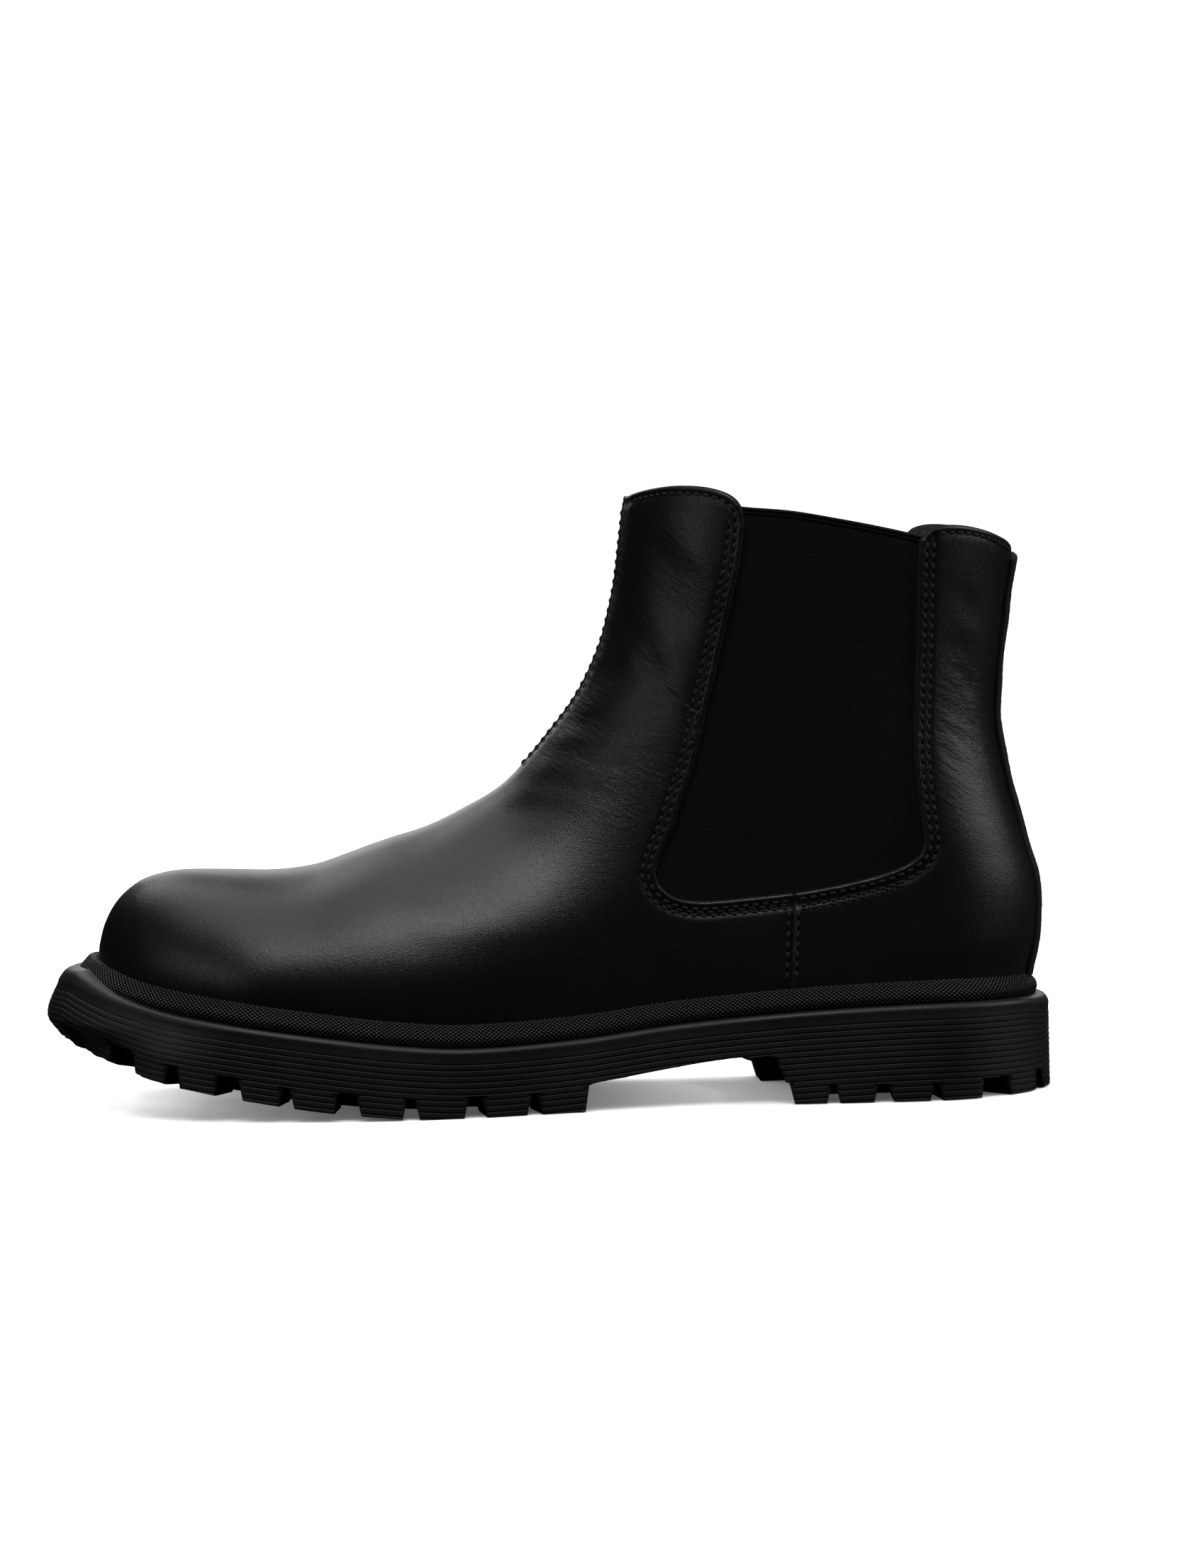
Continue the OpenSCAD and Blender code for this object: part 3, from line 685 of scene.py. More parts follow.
def tape_material(name="tape", base=0.006, scale=900, spec=0.2):
    """Twill: two diagonal weaves, one over the other, with a little fuzz."""
    n = Nodes(name, grey(base), 0.9, spec=spec)
    o = n.coords()
    weaves = [n.wave(n.coords(rotation=(0, math.radians(angle), 0)), scale) for angle in (45, -45)]
    fuzz = n.noise(o, 1500, 4)
    n.tint(n.ramp(fuzz, 0.3, 0.7, 0, 1), grey(base * 0.6), grey(base * 1.7))
    n.roughness(n.ramp(fuzz, 0.3, 0.7, 0.82, 0.98))
    n.set("Sheen Weight", 0.04)
    n.bump((n.math("MAXIMUM", *weaves), 0.00018, 0.6), (fuzz, 0.0003, 0.5))
    return n.m


def rubber_material():
    """Moulded rubber with faint clouds and dust."""
    base, rough = 0.0075, 0.44
    n = Nodes("rubber", grey(base), rough, spec=0.42)
    o = n.coords()
    cloud = n.noise(o, 30, 4)
    dust = n.noise(o, 700, 3)
    n.tint(n.ramp(cloud, 0.3, 0.7, 0, 1), grey(base * 0.8), grey(base * 1.25))
    n.roughness(n.math("ADD", n.ramp(cloud, 0.3, 0.7, rough - 0.06, rough + 0.08),
                       n.math("MULTIPLY", dust, 0.07)))
    n.bump((dust, 0.00012, 0.35))
    return n.m


def rand_material():
    """Knurled rubber: a diagonal lattice of small raised dots, laid out along the strip by its UV map. The
    light grey dot tips are a painted highlight over valleys in painted shade, and the lower face of the strip
    is dimmed with painted shade.
    """
    n = Nodes("rand", grey(0.008), 0.36, spec=0.55)
    uv = n.add("ShaderNodeUVMap", uv_map="surface")

    waves = [n.wave(n.mapped(uv.outputs["UV"], Rotation=(0, 0, math.radians(angle))), 330)
             for angle in (50, -50)]
    dots = n.math("MULTIPLY", *waves)
    fine = n.noise(n.coords(), 1200, 2)
    split = n.add("ShaderNodeSeparateXYZ")
    n.link(uv.outputs["UV"], split.inputs[0])
    # painted shade: low on the strip's section the dots keep only 0.3 of their lightness and gloss
    lower_face_shade = n.ramp(split.outputs["Y"], 0.0088, 0.0104, 0.3, 1)
    tips = n.math("MULTIPLY", n.ramp(dots, 0.25, 0.6, 0, 1), lower_face_shade)
    # painted highlight on the dot tips, painted shade in the near-black valleys
    n.tint(tips, grey(0.0012), grey(0.075))
    n.roughness(n.ramp(tips, 0, 1, 0.75, 0.33))
    n.link(n.ramp(tips, 0, 1, 0.04, 1.0), n.b.inputs["Specular IOR Level"])
    n.bump((fine, 0.0001, 0.2), (dots, 0.0004, 1.0))
    return n.m


def fibre_material(name, dark, light, rough=0.85, scale=260):
    """Matted fibres or granules, between a dark and a light colour."""
    n = Nodes(name, light, rough, spec=0.25)
    o = n.coords()
    f = n.noise(o, scale, 6, 0.65)
    n.tint(n.ramp(f, 0.35, 0.65, 0, 1), dark, light)
    n.roughness(n.ramp(f, 0.3, 0.7, rough - 0.08, rough + 0.08))
    n.bump((f, 0.0003, 0.5))
    return n.m


def steel_material():
    """Brushed spring steel."""
    n = Nodes("steel", (0.55, 0.55, 0.57), 0.32, metal=1.0)
    brush = n.noise(n.coords(scale=(1, 30, 1)), 60, 5)
    n.roughness(n.ramp(brush, 0.3, 0.7, 0.24, 0.42))
    n.bump((brush, 0.00005, 0.4))
    return n.m


LEATHER = leather_material()
ELASTIC = rib_material()
EDGE = fibre_material("cut_edge", grey(0.004), grey(0.012, 0.05), 0.95, 1500)
TAPE = tape_material()
RUBBER = rubber_material()
RAND = rand_material()
THREAD = tape_material("thread", 0.014, 2600, 0.4)
# near black and without gloss: painted shade for the needle holes
HOLE_SHADE = Nodes("needle_hole_shade", grey(0.0008), 1.0, spec=0.0).m
LINING = fibre_material("lining", grey(0.016, 0.02), grey(0.034, 0.03), 0.9, 900)
SOCK = leather_material("sock_leather", 0.018, 0.6)
BOARD = fibre_material("board", (0.30, 0.21, 0.12), (0.46, 0.34, 0.21))
CORK = fibre_material("cork", (0.30, 0.17, 0.08), (0.58, 0.40, 0.24), scale=420)
STEEL = steel_material()


# ---------------------------------------------------------------- outlines of the upper
front_line = spline(GORE_FRONT, 0.9)
bottom_line = spline(GORE_BOTTOM, 0.9)
rear_line = spline(GORE_REAR, 0.9)
gore_edge = np.vstack([front_line[:-1], bottom_line[:-1], rear_line])
collar_front = spline(COLLAR_FRONT, 0.9)
collar_rear = spline(COLLAR_REAR, 0.9)
seam_line = resample(SEAM, 0.9)
top_line = spline(GORE_TOP, 0.9)
front_run = np.vstack([resample([[62.1, 181.0], [61.9, 176.5]], 0.9), front_line])
seam_at = int(np.argmin(np.abs(bottom_line[:, 0] - SEAM[0, 0])))
front_edge = np.vstack([collar_front[:-1], front_line[:-1], bottom_line[:seam_at]])


def rows_beside(line, steps, side=-1):
    """Rows in the parameter plane at the given distances from an edge, to sample a panel finely there."""
    rows = []
    for d in steps:
        p = resample(shifted(resample(line, 0.8), side * d), 0.8)
        rows.append(to_plane(p[distance(p, line) > d - 0.15]))
    return rows


# ---------------------------------------------------------------- relief of the leather
# soft creases: start and end in x-z, width, depth, in millimetres
CREASES = [
    ((-22, 86), (14, 88), 3.4, 0.22), ((-12, 94), (26, 94), 3.0, 0.2), ((-2, 103), (32, 104), 2.6, 0.22),
    ((5, 111), (38, 116), 2.8, 0.24), ((12, 124), (44, 133), 3.6, 0.22),
    ((-60, 62), (-30, 50), 4.5, 0.14), ((-46, 68), (-18, 58), 4.0, 0.14),
    ((12, 97), (30, 103), 1.0, 0.16), ((16, 101), (36, 109), 0.9, 0.18),
    ((19, 106), (38, 115), 1.0, 0.18), ((22, 112), (42, 121), 0.9, 0.16),
    ((26, 118), (44, 126), 1.0, 0.15), ((117, 112), (134, 99), 1.2, 0.2),
    ((118, 118), (135, 104), 1.1, 0.2), ((118, 124), (134, 110), 1.2, 0.2),
    ((117, 104), (132, 92), 1.1, 0.16), ((118, 131), (134, 117), 1.5, 0.18),
    ((119, 140), (135, 118), 5.0, 0.5), ((121, 156), (134, 134), 3.2, 0.2),
    ((31, 174), (47, 136), 6.5, 0.75), ((24, 148), (42, 112), 5.0, 0.5), ((40, 166), (54, 140), 4.0, 0.3),
]


def creases(x, z, y):
    """Shallow furrows with a raised lip; the medial side has them a little off the lateral ones."""
    h = np.zeros_like(x)
    for i, (a, b, w, depth) in enumerate(CREASES):
        a, b = np.array(a, float), np.array(b, float)
        shift = np.where(y > 0, 3.0 if i % 2 else -2.0, 0.0)
        d = b - a
        length = np.linalg.norm(d)
        d /= length
        s = (x - a[0]) * d[0] + (z + shift - a[1]) * d[1]
        bend = 2.2 * np.sin(np.pi * np.clip(s / length, 0, 1) * (1 + 0.3 * (i % 3)))
        t = -(x - a[0]) * d[1] + (z + shift - a[1]) * d[0] - bend
        window = smooth(s / (0.35 * length)) * smooth((length - s) / (0.35 * length))
        h += window * depth * (0.8 * np.exp(-((t - 1.3 * w) / (1.2 * w)) ** 2) - np.exp(-(t / w) ** 2))
    return h


def stitch_dips(d, rows, depth=0.40, width=0.85):
    """Dips along the rows, from the distance d to the edge."""
    h = np.zeros_like(d)
    for r in rows:
        h -= depth * bell(d - r, width)
    return h


# distance of each stitch row from its edge
FRONT_ROWS, REAR_ROWS, BOTTOM_ROWS = (1.9, 3.9), (1.6, 3.7), (1.9, 2.9, 3.9)
SEAM_ROWS, TOP_ROW = (1.4,), (1.8,)


def edge_roll(d, drop=0.3, width=0.7):
    """The face falls off towards a cut edge."""
    return -drop * (1 - round_in(np.clip(d, 0, None) / width))


def seam_distance(x, z):
    """Distance to the side seam under the gore, and far where there is none."""
    return np.where(z < 62.5, np.abs(x - np.interp(z, SEAM[::-1, 1], SEAM[::-1, 0])), 99)


def front_relief(x, z, y):
    """How far the front panel's face lies above the skin."""
    p = np.column_stack([x, z])
    near, df, db = distance(p, front_edge), distance(p, front_run), distance(p, bottom_line)
    ds = seam_distance(x, z)
    h = creases(x, z, y) + edge_roll(near)
    front_dips = stitch_dips(near, FRONT_ROWS[:1]) + stitch_dips(df, FRONT_ROWS[1:]) * (near > 3)
    h += np.where(db > df, front_dips, stitch_dips(db, BOTTOM_ROWS))
    h += stitch_dips(ds, SEAM_ROWS, 0.22) - 0.55 * bell(ds, 0.7)
    ridge = smooth((z - 97) / 9) * (x < 45)
    off = np.abs(y - along(CENTRE_Y, x))
    h += ridge * (0.4 * bell(off, 0.8) - 0.15 * bell(off - 2.0, 0.6))
    return h


def rear_relief(x, z, y):
    """How far a back panel's face lies above the skin; the counter swells it low down."""
    p = np.column_stack([x, z])
    dr, db = distance(p, rear_line), distance(p, bottom_line)
    dt, ds = distance(p, collar_rear), seam_distance(x, z)
    h = creases(x, z, y)
    h += stitch_dips(dr, REAR_ROWS) * (db > dr) + stitch_dips(db, BOTTOM_ROWS) * (db <= dr)
    h += stitch_dips(dt, TOP_ROW, 0.25) + edge_roll(np.minimum(dr, db)) + edge_roll(dt)
    h += stitch_dips(ds, SEAM_ROWS, 0.22) - 0.55 * bell(ds, 0.7)
    h += 0.5 * smooth((x - 92) / 22) * smooth((92 - z) / 18) * smooth((z - 36) / 10)
    return h


def u_of(x, z):
    """The surface's first parameter at a point in the x-z plane."""
    return float(find(np.array([x], float), np.array([z], float))[0][0])


def foot(x):
    """Point just above the feather edge."""
    return (x, float(feather(x)) + 0.05)


def foot_u(x):
    return u_of(x, float(feather(x)))


# ---------------------------------------------------------------- upper pieces
# thickness of the sheets
LEATHER_THICK, ELASTIC_THICK, LINING_THICK, COUNTER_THICK = 2.0, 1.4, 0.9, 1.1
# distances from an edge at which a panel is sampled finely
ROW_STEPS = (0.35, 0.8, 1.25, 1.7, 2.15, 2.6, 3.2, 3.8, 4.3, 4.9, 5.6)
COLLAR_STEPS = (0.35, 0.8, 1.3, 1.7, 2.1, 2.8)
SEAM_STEPS = (0.5, 0.9, 1.2, 1.6, 2.1, 2.8)
RIDGE_STEPS = (0.3, 0.6, 0.9, 1.25, 1.7, 2.1, 2.5, 3.0, 3.6)
# length along a shaft rib from its front to its back, nearly enough
RIB_LENGTH = 78


def toe_end(count):
    """Up the front end of the toe, from the feather edge to the ridge, without the ends."""
    return np.column_stack([np.zeros(count - 2), np.linspace(1, 0, count)[1:-1] * KV])


def build_vamp():
    u_top = u_of(*COLLAR_FRONT[0])
    top = to_plane(collar_front)
    top[0, 1] = 0
    low_front = bottom_line[:seam_at]
    side_seam = resample([(74.3, 61.9), (73.0, 36), foot(72.6)], 0.9)
    loop = [domain_edge(0, u_top, 0)[:-1], top[:-1], to_plane(front_line)[:-1], to_plane(low_front),
            to_plane(side_seam), domain_edge(foot_u(72.6), 0, 1)[1:], toe_end(62)]
    rows = rows_beside(front_line, ROW_STEPS) + rows_beside(low_front, ROW_STEPS)
    rows += rows_beside(collar_front, COLLAR_STEPS) + rows_beside(seam_line, SEAM_STEPS)
    rows += [domain_edge(0.98, u_top, d / RIB_LENGTH, 1.2) for d in RIDGE_STEPS]
    return shell("vamp_leather", np.vstack(loop), rows, front_relief, LEATHER_THICK, (-1, 1), [LEATHER, EDGE])


def build_quarter(side, name):
    u_top = u_of(COLLAR_REAR[-1][0] - 0.6, COLLAR_REAR[-1][1])
    back = 1 - 0.004
    low_rear = bottom_line[seam_at + 1:]
    side_seam = resample([foot(72.9), (73.4, 36), (74.9, 61.9)], 0.9)
    loop = [to_plane(side_seam), to_plane(low_rear)[:-1], to_plane(rear_line)[:-1],
            to_plane(collar_rear[:-2]), domain_edge(u_top, 2.0, back)[1:],
            domain_edge(1.999, foot_u(72.9), 1)[:-1]]
    rows = rows_beside(rear_line, ROW_STEPS) + rows_beside(low_rear, ROW_STEPS)
    rows += rows_beside(collar_rear, COLLAR_STEPS) + rows_beside(seam_line, SEAM_STEPS, 1)
    return shell(name, np.vstack(loop), rows, rear_relief, LEATHER_THICK, (side,), [LEATHER, EDGE])


GORE_MARGIN = 7.0    # the part of the gore that the leather covers
COVERED = 2.25       # how far under the skin the gore lies


def gore_loop(margin):
    """Outline of a gore with the margin that the leather covers."""
    side = shifted(resample(gore_edge, 1.0), -margin)
    side = side[distance(side, gore_edge) > margin - 0.4]
    top_z = np.interp(side[:, 0], top_line[:, 0], top_line[:, 1], left=178.5, right=165)
    side = side[side[:, 1] < top_z - 0.6]
    top = top_line[(top_line[:, 0] > side[0, 0] + 0.5) & (top_line[:, 0] < side[-1, 0] - 0.5)][::-1]
    return np.vstack([side, top])


def gore_relief(x, z, y):
    """The gore lies under the leather, ripples a little and has two cords along its top."""
    p = np.column_stack([x, z])
    d = distance(p, gore_edge)
    open_part = inside(p, np.vstack([gore_edge, top_line[::-1]]))
    sag = smooth(d / 22) * open_part
    wave = 0.35 * np.sin(x / 7.5 + 0.6 * np.sin(z / 31)) + 0.25 * np.sin(z / 17 + x / 40)
    dt = distance(p, top_line)
    rib = 0.42 * bell(dt - 0.4, 0.32) + 0.36 * bell(dt - 1.5, 0.3)
    rib -= 0.2 * bell(dt - 0.95, 0.2) + 0.2 * bell(dt - 2.1, 0.25)
    return -COVERED + sag * (0.2 + wave) + rib


def build_gore(side, name):
    loop = to_plane(gore_loop(GORE_MARGIN))
    rows = rows_beside(top_line, (0.2, 0.45, 0.7, 0.95, 1.2, 1.5, 1.8, 2.1, 2.5))
    return shell(name, loop, rows, gore_relief, ELASTIC_THICK, (side,), [ELASTIC], 1.8, 0.2)


def lining_depth(x, z, y):
    """How far the lining lies under the skin: deeper by the gore's hidden margin and away from the collar."""
    p = np.column_stack([x, z])
    near = smooth((14 - distance(p, gore_edge)) / 5)
    low = smooth((np.minimum(distance(p, collar_front), distance(p, collar_rear)) - 8) / 8)
    return -(3.4 + 0.75 * np.maximum(near, low))


def lining_loop_front():
    u_top = u_of(*COLLAR_FRONT[0])
    top = to_plane(shifted(collar_front, -0.7))
    top[0, 1] = 0
    edge = resample(np.vstack([shifted(front_line, -0.9), shifted(bottom_line[:seam_at - 2], -0.9)]), 1.2)
    return np.vstack([domain_edge(0, u_top - 0.004, 0, 1.6)[:-1], top[:-1], to_plane(edge[2:-2]),
                      to_plane(resample([(73.2, 60.6), foot(72.0)], 1.5)),
                      domain_edge(foot_u(72.0), 0, 1, 1.6)[1:], toe_end(40)])


def lining_loop_rear():
    top = to_plane(shifted(collar_rear[2:-3], -0.7))
    edge = resample(np.vstack([shifted(bottom_line[seam_at + 3:], -0.9), shifted(rear_line, -0.9)]), 1.2)
    return np.vstack([to_plane(resample([foot(74.0), (76.0, 60.6)], 1.5)), to_plane(edge[1:-2]), top,
                      domain_edge(top[-1, 0] / KU, 2.0, 1, 1.6)[1:],
                      domain_edge(1.999, foot_u(74.0), 1, 1.6)[:-1]])


def build_lining(name, loop):
    return shell(name, loop, [], lining_depth, LINING_THICK, (-1, 1), [LINING], 3.0, 0.15)


def build_counter():
    """Moulded board between the leather and the lining of the heel."""
    top = to_plane(spline(COUNTER_TOP, 1.5))
    low = u_of(92, float(feather(92)) + 3.0)
    loop = [top[:-1], domain_edge(top[-1, 0] / KU, 2.0, 0.995, 1.5), domain_edge(1.999, low, 0.975, 1.5)]
    return shell("heel_counter_board", np.vstack(loop), [], lambda x, z, y: np.full_like(x, -2.2),
                 COUNTER_THICK, (-1, 1), [BOARD], 2.6, 0.15)


# ---------------------------------------------------------------- strap up the back
def back_point(z, y, lift):
    """Point on the back of the upper at height z and side offset y, raised by lift along the normal."""
    def face(z, y):
        line = along(BACK_LINE, z)
        full = full_half(HALF_LAT, line - 2, z) * tuck(line - 2, z)
        return line - back_depth(z) * (1 - np.sqrt(np.clip(1 - (y / full) ** 2, 0, 1)))
    x = face(z, y)
    e = 0.05
    dy = (face(z, y + e) - face(z, y - e)) / (2 * e)
    dz = (face(z + e, y) - face(z - e, y)) / (2 * e)
    n = np.stack([np.ones_like(x), -dy, -dz], -1)
    n /= np.linalg.norm(n, axis=-1)[..., None]
    p = np.stack([x, y, z], -1)
    return p + n * np.asarray(lift)[..., None]


def build_backstay():
    """A strip of tape with soft edges, a furrow along each stitched side and a top that is turned in."""
    low, high = 33.8, 161.9
    half, thick, furrow = 8.5, 1.25, 1.6
    zs = np.linspace(low, high, 192)
    face = [(half * t, 0.35 + thick * (1 - 0.42 * abs(t) ** 8) + 0.12 * (1 - t * t))
            for t in np.linspace(-1, 1, 41)]
    back = [(half * t, 0.05) for t in np.linspace(0.9, -0.9, 15)]
    prof = np.array(face + [(half + 0.12, 0.75), (half, 0.15)] + back + [(-half, 0.15), (-half - 0.12, 0.75)])
    z, y = np.meshgrid(zs, prof[:, 0], indexing="ij")
    rng = np.random.default_rng(5)
    lift = np.tile(prof[:, 1], (len(zs), 1))
    outer = lift > 0.6
    lift = lift + outer * (0.06 * rng.standard_normal(lift.shape) + 0.12 * np.sin(z / 3.1))
    lift -= outer * 0.35 * bell(np.abs(np.abs(y) - (half - furrow)), 0.5)
    wobble = 0.18 * np.sin(zs / 5.3) + 0.1 * np.sin(zs / 1.9)
    y = y + wobble[:, None] * np.sign(y) * (np.abs(y) > half - 0.5)
    close = round_in((high - zs) / 1.6)[:, None]
    lift = 0.05 + (lift - 0.05) * np.where(lift > 0.1, 0.25 + 0.75 * close, 1)
    z = z - 0.027 * y * y * smooth((z - 150) / 12)
    faces = ring_faces(len(zs), len(prof))
    return sharpen(make_object("backstay_tape", back_point(z, y, lift).reshape(-1, 3), faces, [TAPE]), 60)


# ---------------------------------------------------------------- stitches
def skin_frame(line, side, relief):
    """Points and normals of the leather's face along an x-z line on one side of the upper."""
    x, z = line.T
    e = 0.25

    def on_skin(x, z):
        return surface(*find(x, z), side)

    p = on_skin(x, z)
    n = np.cross(on_skin(x + e, z) - on_skin(x - e, z), on_skin(x, z + e) - on_skin(x, z - e))
    return lifted(p, n, side, relief, 0)


def lifted(p, n, side, relief, extra):
    """Points raised to the leather's face and by extra, with unit normals that point outwards."""
    n = n / np.maximum(np.linalg.norm(n, axis=1), 1e-9)[:, None]
    n *= np.where(n[:, 1] * side < 0, -1, 1)[:, None]
    return p + n * (extra + relief(p[:, 0], p[:, 2], p[:, 1]))[:, None], n


# points round a thread or round the dark disc of painted shade at a needle hole; and the materials of the two
RING = 8
IS_THREAD, IS_HOLE_SHADE = 0, 1


def add_rings(store, rings, kind):
    """Adds a closed tube to a store, which is three lists: points, faces and material numbers."""
    verts, faces, kinds = store
    added = ring_faces(len(rings), RING, len(verts))
    verts += [p for ring in rings for p in ring]
    faces += added
    kinds += [kind] * len(added)


def circle(turn=0.0):
    """Cosine and sine of the points of a ring, as columns."""
    angle = 2 * math.pi * np.arange(RING) / RING + turn
    return np.cos(angle)[:, None], np.sin(angle)[:, None]


def add_thread(store, centre, normal, across, radius):
    """A thread along its centre line, twisted a little from ring to ring."""
    rings = []
    for j in range(len(centre)):
        c, s = circle(0.5 * j)
        rings.append(centre[j] + radius[j] * (c * normal[j] + 1.15 * s * across[j]))
    add_rings(store, rings, IS_THREAD)


def add_hole_shade(store, centre, normal, forward):
    """A near-black, slanted disc between two stitches: painted shade where the needle's pit lies."""
    across = np.cross(normal, forward)
    forward, across = 0.95 * forward + 0.4 * across, 0.65 * across - 0.27 * forward
    c, s = circle()
    rings = []
    for latitude, width in ((-70, 0.4), (-30, 0.9), (0, 1.0), (45, 0.75), (80, 0.25)):
        height = HOLE_SHADE_HEIGHT * math.sin(math.radians(latitude))
        rings.append(centre + HOLE_SHADE_SIZE * width * (c * forward + s * across) + height * normal)
    add_rings(store, rings, IS_HOLE_SHADE)


# one stitch: pitch, thread radius, share of the pitch that shows, and the size of the painted-shade disc at a
# needle hole
PITCH, THREAD_RADIUS, STITCH_SHARE = 3.0, 0.42, 0.7
HOLE_SHADE_SIZE, HOLE_SHADE_HEIGHT = 0.46, 0.13
FINE_STITCH = (2.9, 0.34)


def lay_stitches(store, p, n, pitch=PITCH, radius=THREAD_RADIUS):
    """Single stitches along a line on the leather: each is a short bowed thread that dips in at both ends."""
    d = np.r_[0, np.cumsum(np.linalg.norm(np.diff(p, axis=0), axis=1))]
    count = max(1, int(d[-1] / pitch))
    step = d[-1] / count

    def at(s):
        c = np.column_stack([np.interp(s, d, p[:, k]) for k in range(3)])
        q = np.column_stack([np.interp(s, d, n[:, k]) for k in range(3)])
        return c, q / np.linalg.norm(q, axis=1)[:, None]

    t = np.linspace(0, 1, 9)
    arch = np.sin(np.pi * t) ** 0.6
    for i in range(count):
        c, q = at((i + 0.5 + STITCH_SHARE * (t - 0.5)) * step)
        c = c + q * ((-0.24 + 0.44 * arch)[:, None])
        tan = np.gradient(c, axis=0)
        tan /= np.linalg.norm(tan, axis=1)[:, None]
        across = np.cross(tan, q)
        across /= np.linalg.norm(across, axis=1)[:, None]
        c = c + across * (0.16 * (t - 0.5))[:, None]
        add_thread(store, c, q, across, radius * (0.55 + 0.45 * arch))
        # between two stitches, a dark disc of painted shade where the needle went through
        if i < count - 1:
            hole, up = at((i + 1) * step + np.array([-0.3, 0, 0.3]))
            forward = hole[2] - hole[0]
            add_hole_shade(store, hole[1], up[1], forward / np.linalg.norm(forward))


def stitch_row(store, edge, offset, keep, relief, stitch=(PITCH, THREAD_RADIUS)):
    """A row on both sides of the boot, offset from an edge, where keep(x, z) holds."""
    p = shifted(resample(edge, 0.6), offset)
    p = resample(p[distance(p, edge) > abs(offset) - 0.12], 0.5)
    line = resample(p[keep(p[:, 0], p[:, 1])], 0.45)
    for side in (-1, 1):
        lay_stitches(store, *skin_frame(line, side, relief), *stitch)


def ridge_stitches(store, side):
    """The row beside the seam down the front of the shaft."""
    u = np.linspace(u_of(-6.0, 100.2), u_of(*COLLAR_FRONT[0]) - 0.012, 220)
    v = np.full_like(u, 1.9 / RIB_LENGTH)
    e = 1e-3
    n = np.cross(surface(u + e, v, side) - surface(u - e, v, side),
                 surface(u, v + e, side) - surface(u, v - e, side))
    p, n = lifted(surface(u, v, side), n, side, front_relief, 0.34)
    lay_stitches(store, p, n, 2.9, 0.38)


def on_seam(x, z):
    return (z > 36) & (z < 58)


def build_front_stitches():
    store = ([], [], [])
    low = bottom_line[:seam_at]
    whole = np.vstack([front_run[:-1], low])
    stitch_row(store, front_edge, -FRONT_ROWS[0], lambda x, z: (x > 29.5) & (x < 73.4), front_relief)
    stitch_row(store, whole, -FRONT_ROWS[1], lambda x, z: (z < 177.4) & (x < 73.4), front_relief)
    stitch_row(store, low, -BOTTOM_ROWS[1], lambda x, z: (x > 36) & (x < 73.4), front_relief, FINE_STITCH)
    stitch_row(store, seam_line, -SEAM_ROWS[0], on_seam, front_relief)
    for side in (-1, 1):
        ridge_stitches(store, side)
    return make_object("front_stitches", *store[:2], [THREAD, HOLE_SHADE], face_material=store[2])


def build_rear_stitches():
    store = ([], [], [])
    whole = np.vstack([bottom_line[seam_at + 1:-1], rear_line])
    for d in REAR_ROWS:
        stitch_row(store, whole, -d, lambda x, z: (x > 75.4) & (z < 166.5), rear_relief)
    low = bottom_line[seam_at + 1:]
    stitch_row(store, low, -4.7, lambda x, z: (x > 75.4) & (x < 108), rear_relief, FINE_STITCH)
    stitch_row(store, collar_rear, -TOP_ROW[0], lambda x, z: (x > 119.5) & (x < 143), rear_relief)
    stitch_row(store, seam_line, SEAM_ROWS[0], on_seam, rear_relief)
    return make_object("rear_stitches", *store[:2], [THREAD, HOLE_SHADE], face_material=store[2])


# ---------------------------------------------------------------- plan outlines
def plan_loop(inset, toe, heel, toe_round=TOE_ROUND, heel_round=HEEL_ROUND, n=700, blunt=0.0):
    """Closed outline in plan, lateral side from toe to heel and back along the medial side.
    blunt cuts its heel end off that much short."""
    x = toe + (heel - toe) * (1 - np.cos(np.pi * np.arange(n + 1) / n)) / 2
    w = [(along(t, x) - inset) * round_in((x - toe) / toe_round) * round_in((heel + blunt - x) / heel_round)
         for t in (HALF_LAT, HALF_MED)]
    cy = along(CENTRE_Y, x)
    lat = np.column_stack([x, cy - w[0]])
    med = np.column_stack([x, cy + w[1]])
    return np.vstack([lat, med[-2:0:-1]])


class Path:
    """A closed plan outline measured by its length, with outward normals."""

    def __init__(self, loop):
        self.p = closed(loop)
        self.d = np.r_[0, np.cumsum(np.linalg.norm(np.diff(self.p, axis=0), axis=1))]
        self.total = self.d[-1]

    def at(self, s):
        s = np.mod(s, self.total)
        return np.column_stack([np.interp(s, self.d, self.p[:, k]) for k in range(2)])

    def normal(self, s, e=1.2):
        t = self.at(s + e) - self.at(s - e)
        t /= np.linalg.norm(t, axis=1)[:, None]
        return np.column_stack([t[:, 1], -t[:, 0]])

    def s_of(self, x, side):
        """Length along the outline where the given side passes x."""
        half = len(self.p) // 2
        if side < 0:
            return float(np.interp(x, self.p[:half + 1, 0], self.d[:half + 1]))
        return float(np.interp(-x, -self.p[half:, 0], self.d[half:]))


# ---------------------------------------------------------------- outsole
SOLE = Path(plan_loop(0, SOLE_TOE, SOLE_HEEL))
# start and end of each edge lug along x
FRONT_LUGS = [(-142.2, -132.7), (-123.3, -113.3), (-109, -98), (-90.2, -79), (-75, -62.6), (-55.2, -42.4),
              (-38, -24.3), (-18.1, -5.8), (-1.9, 11.3)]
HEEL_LUGS = [(72.8, 83), (86.3, 97), (102.3, 113.7), (117.2, 129.3), (138.3, 146.8)]
TOE_LUG, HEEL_LUG = -147.2, 149.6   # where the lugs round the two ends start
BREAST_LUG = 9.0    # the first lug of the heel is this much longer on the medial side
BODY_FACE = table((-155, 29.2), (-147, 27.3), (-132, 22.7), (-115, 17.7), (-100, 14.5), (-84, 11.7),
                  (-67, 9.1), (-50, 7.2), (-38, 6.3), (9, 6.3), (13.5, 8.2), (24, 9.8), (36, 11.6),
                  (48, 13.3), (57, 14.2), (66, 14.3), (67.8, 14.0), (70.6, 6.3), (160, 6.3))
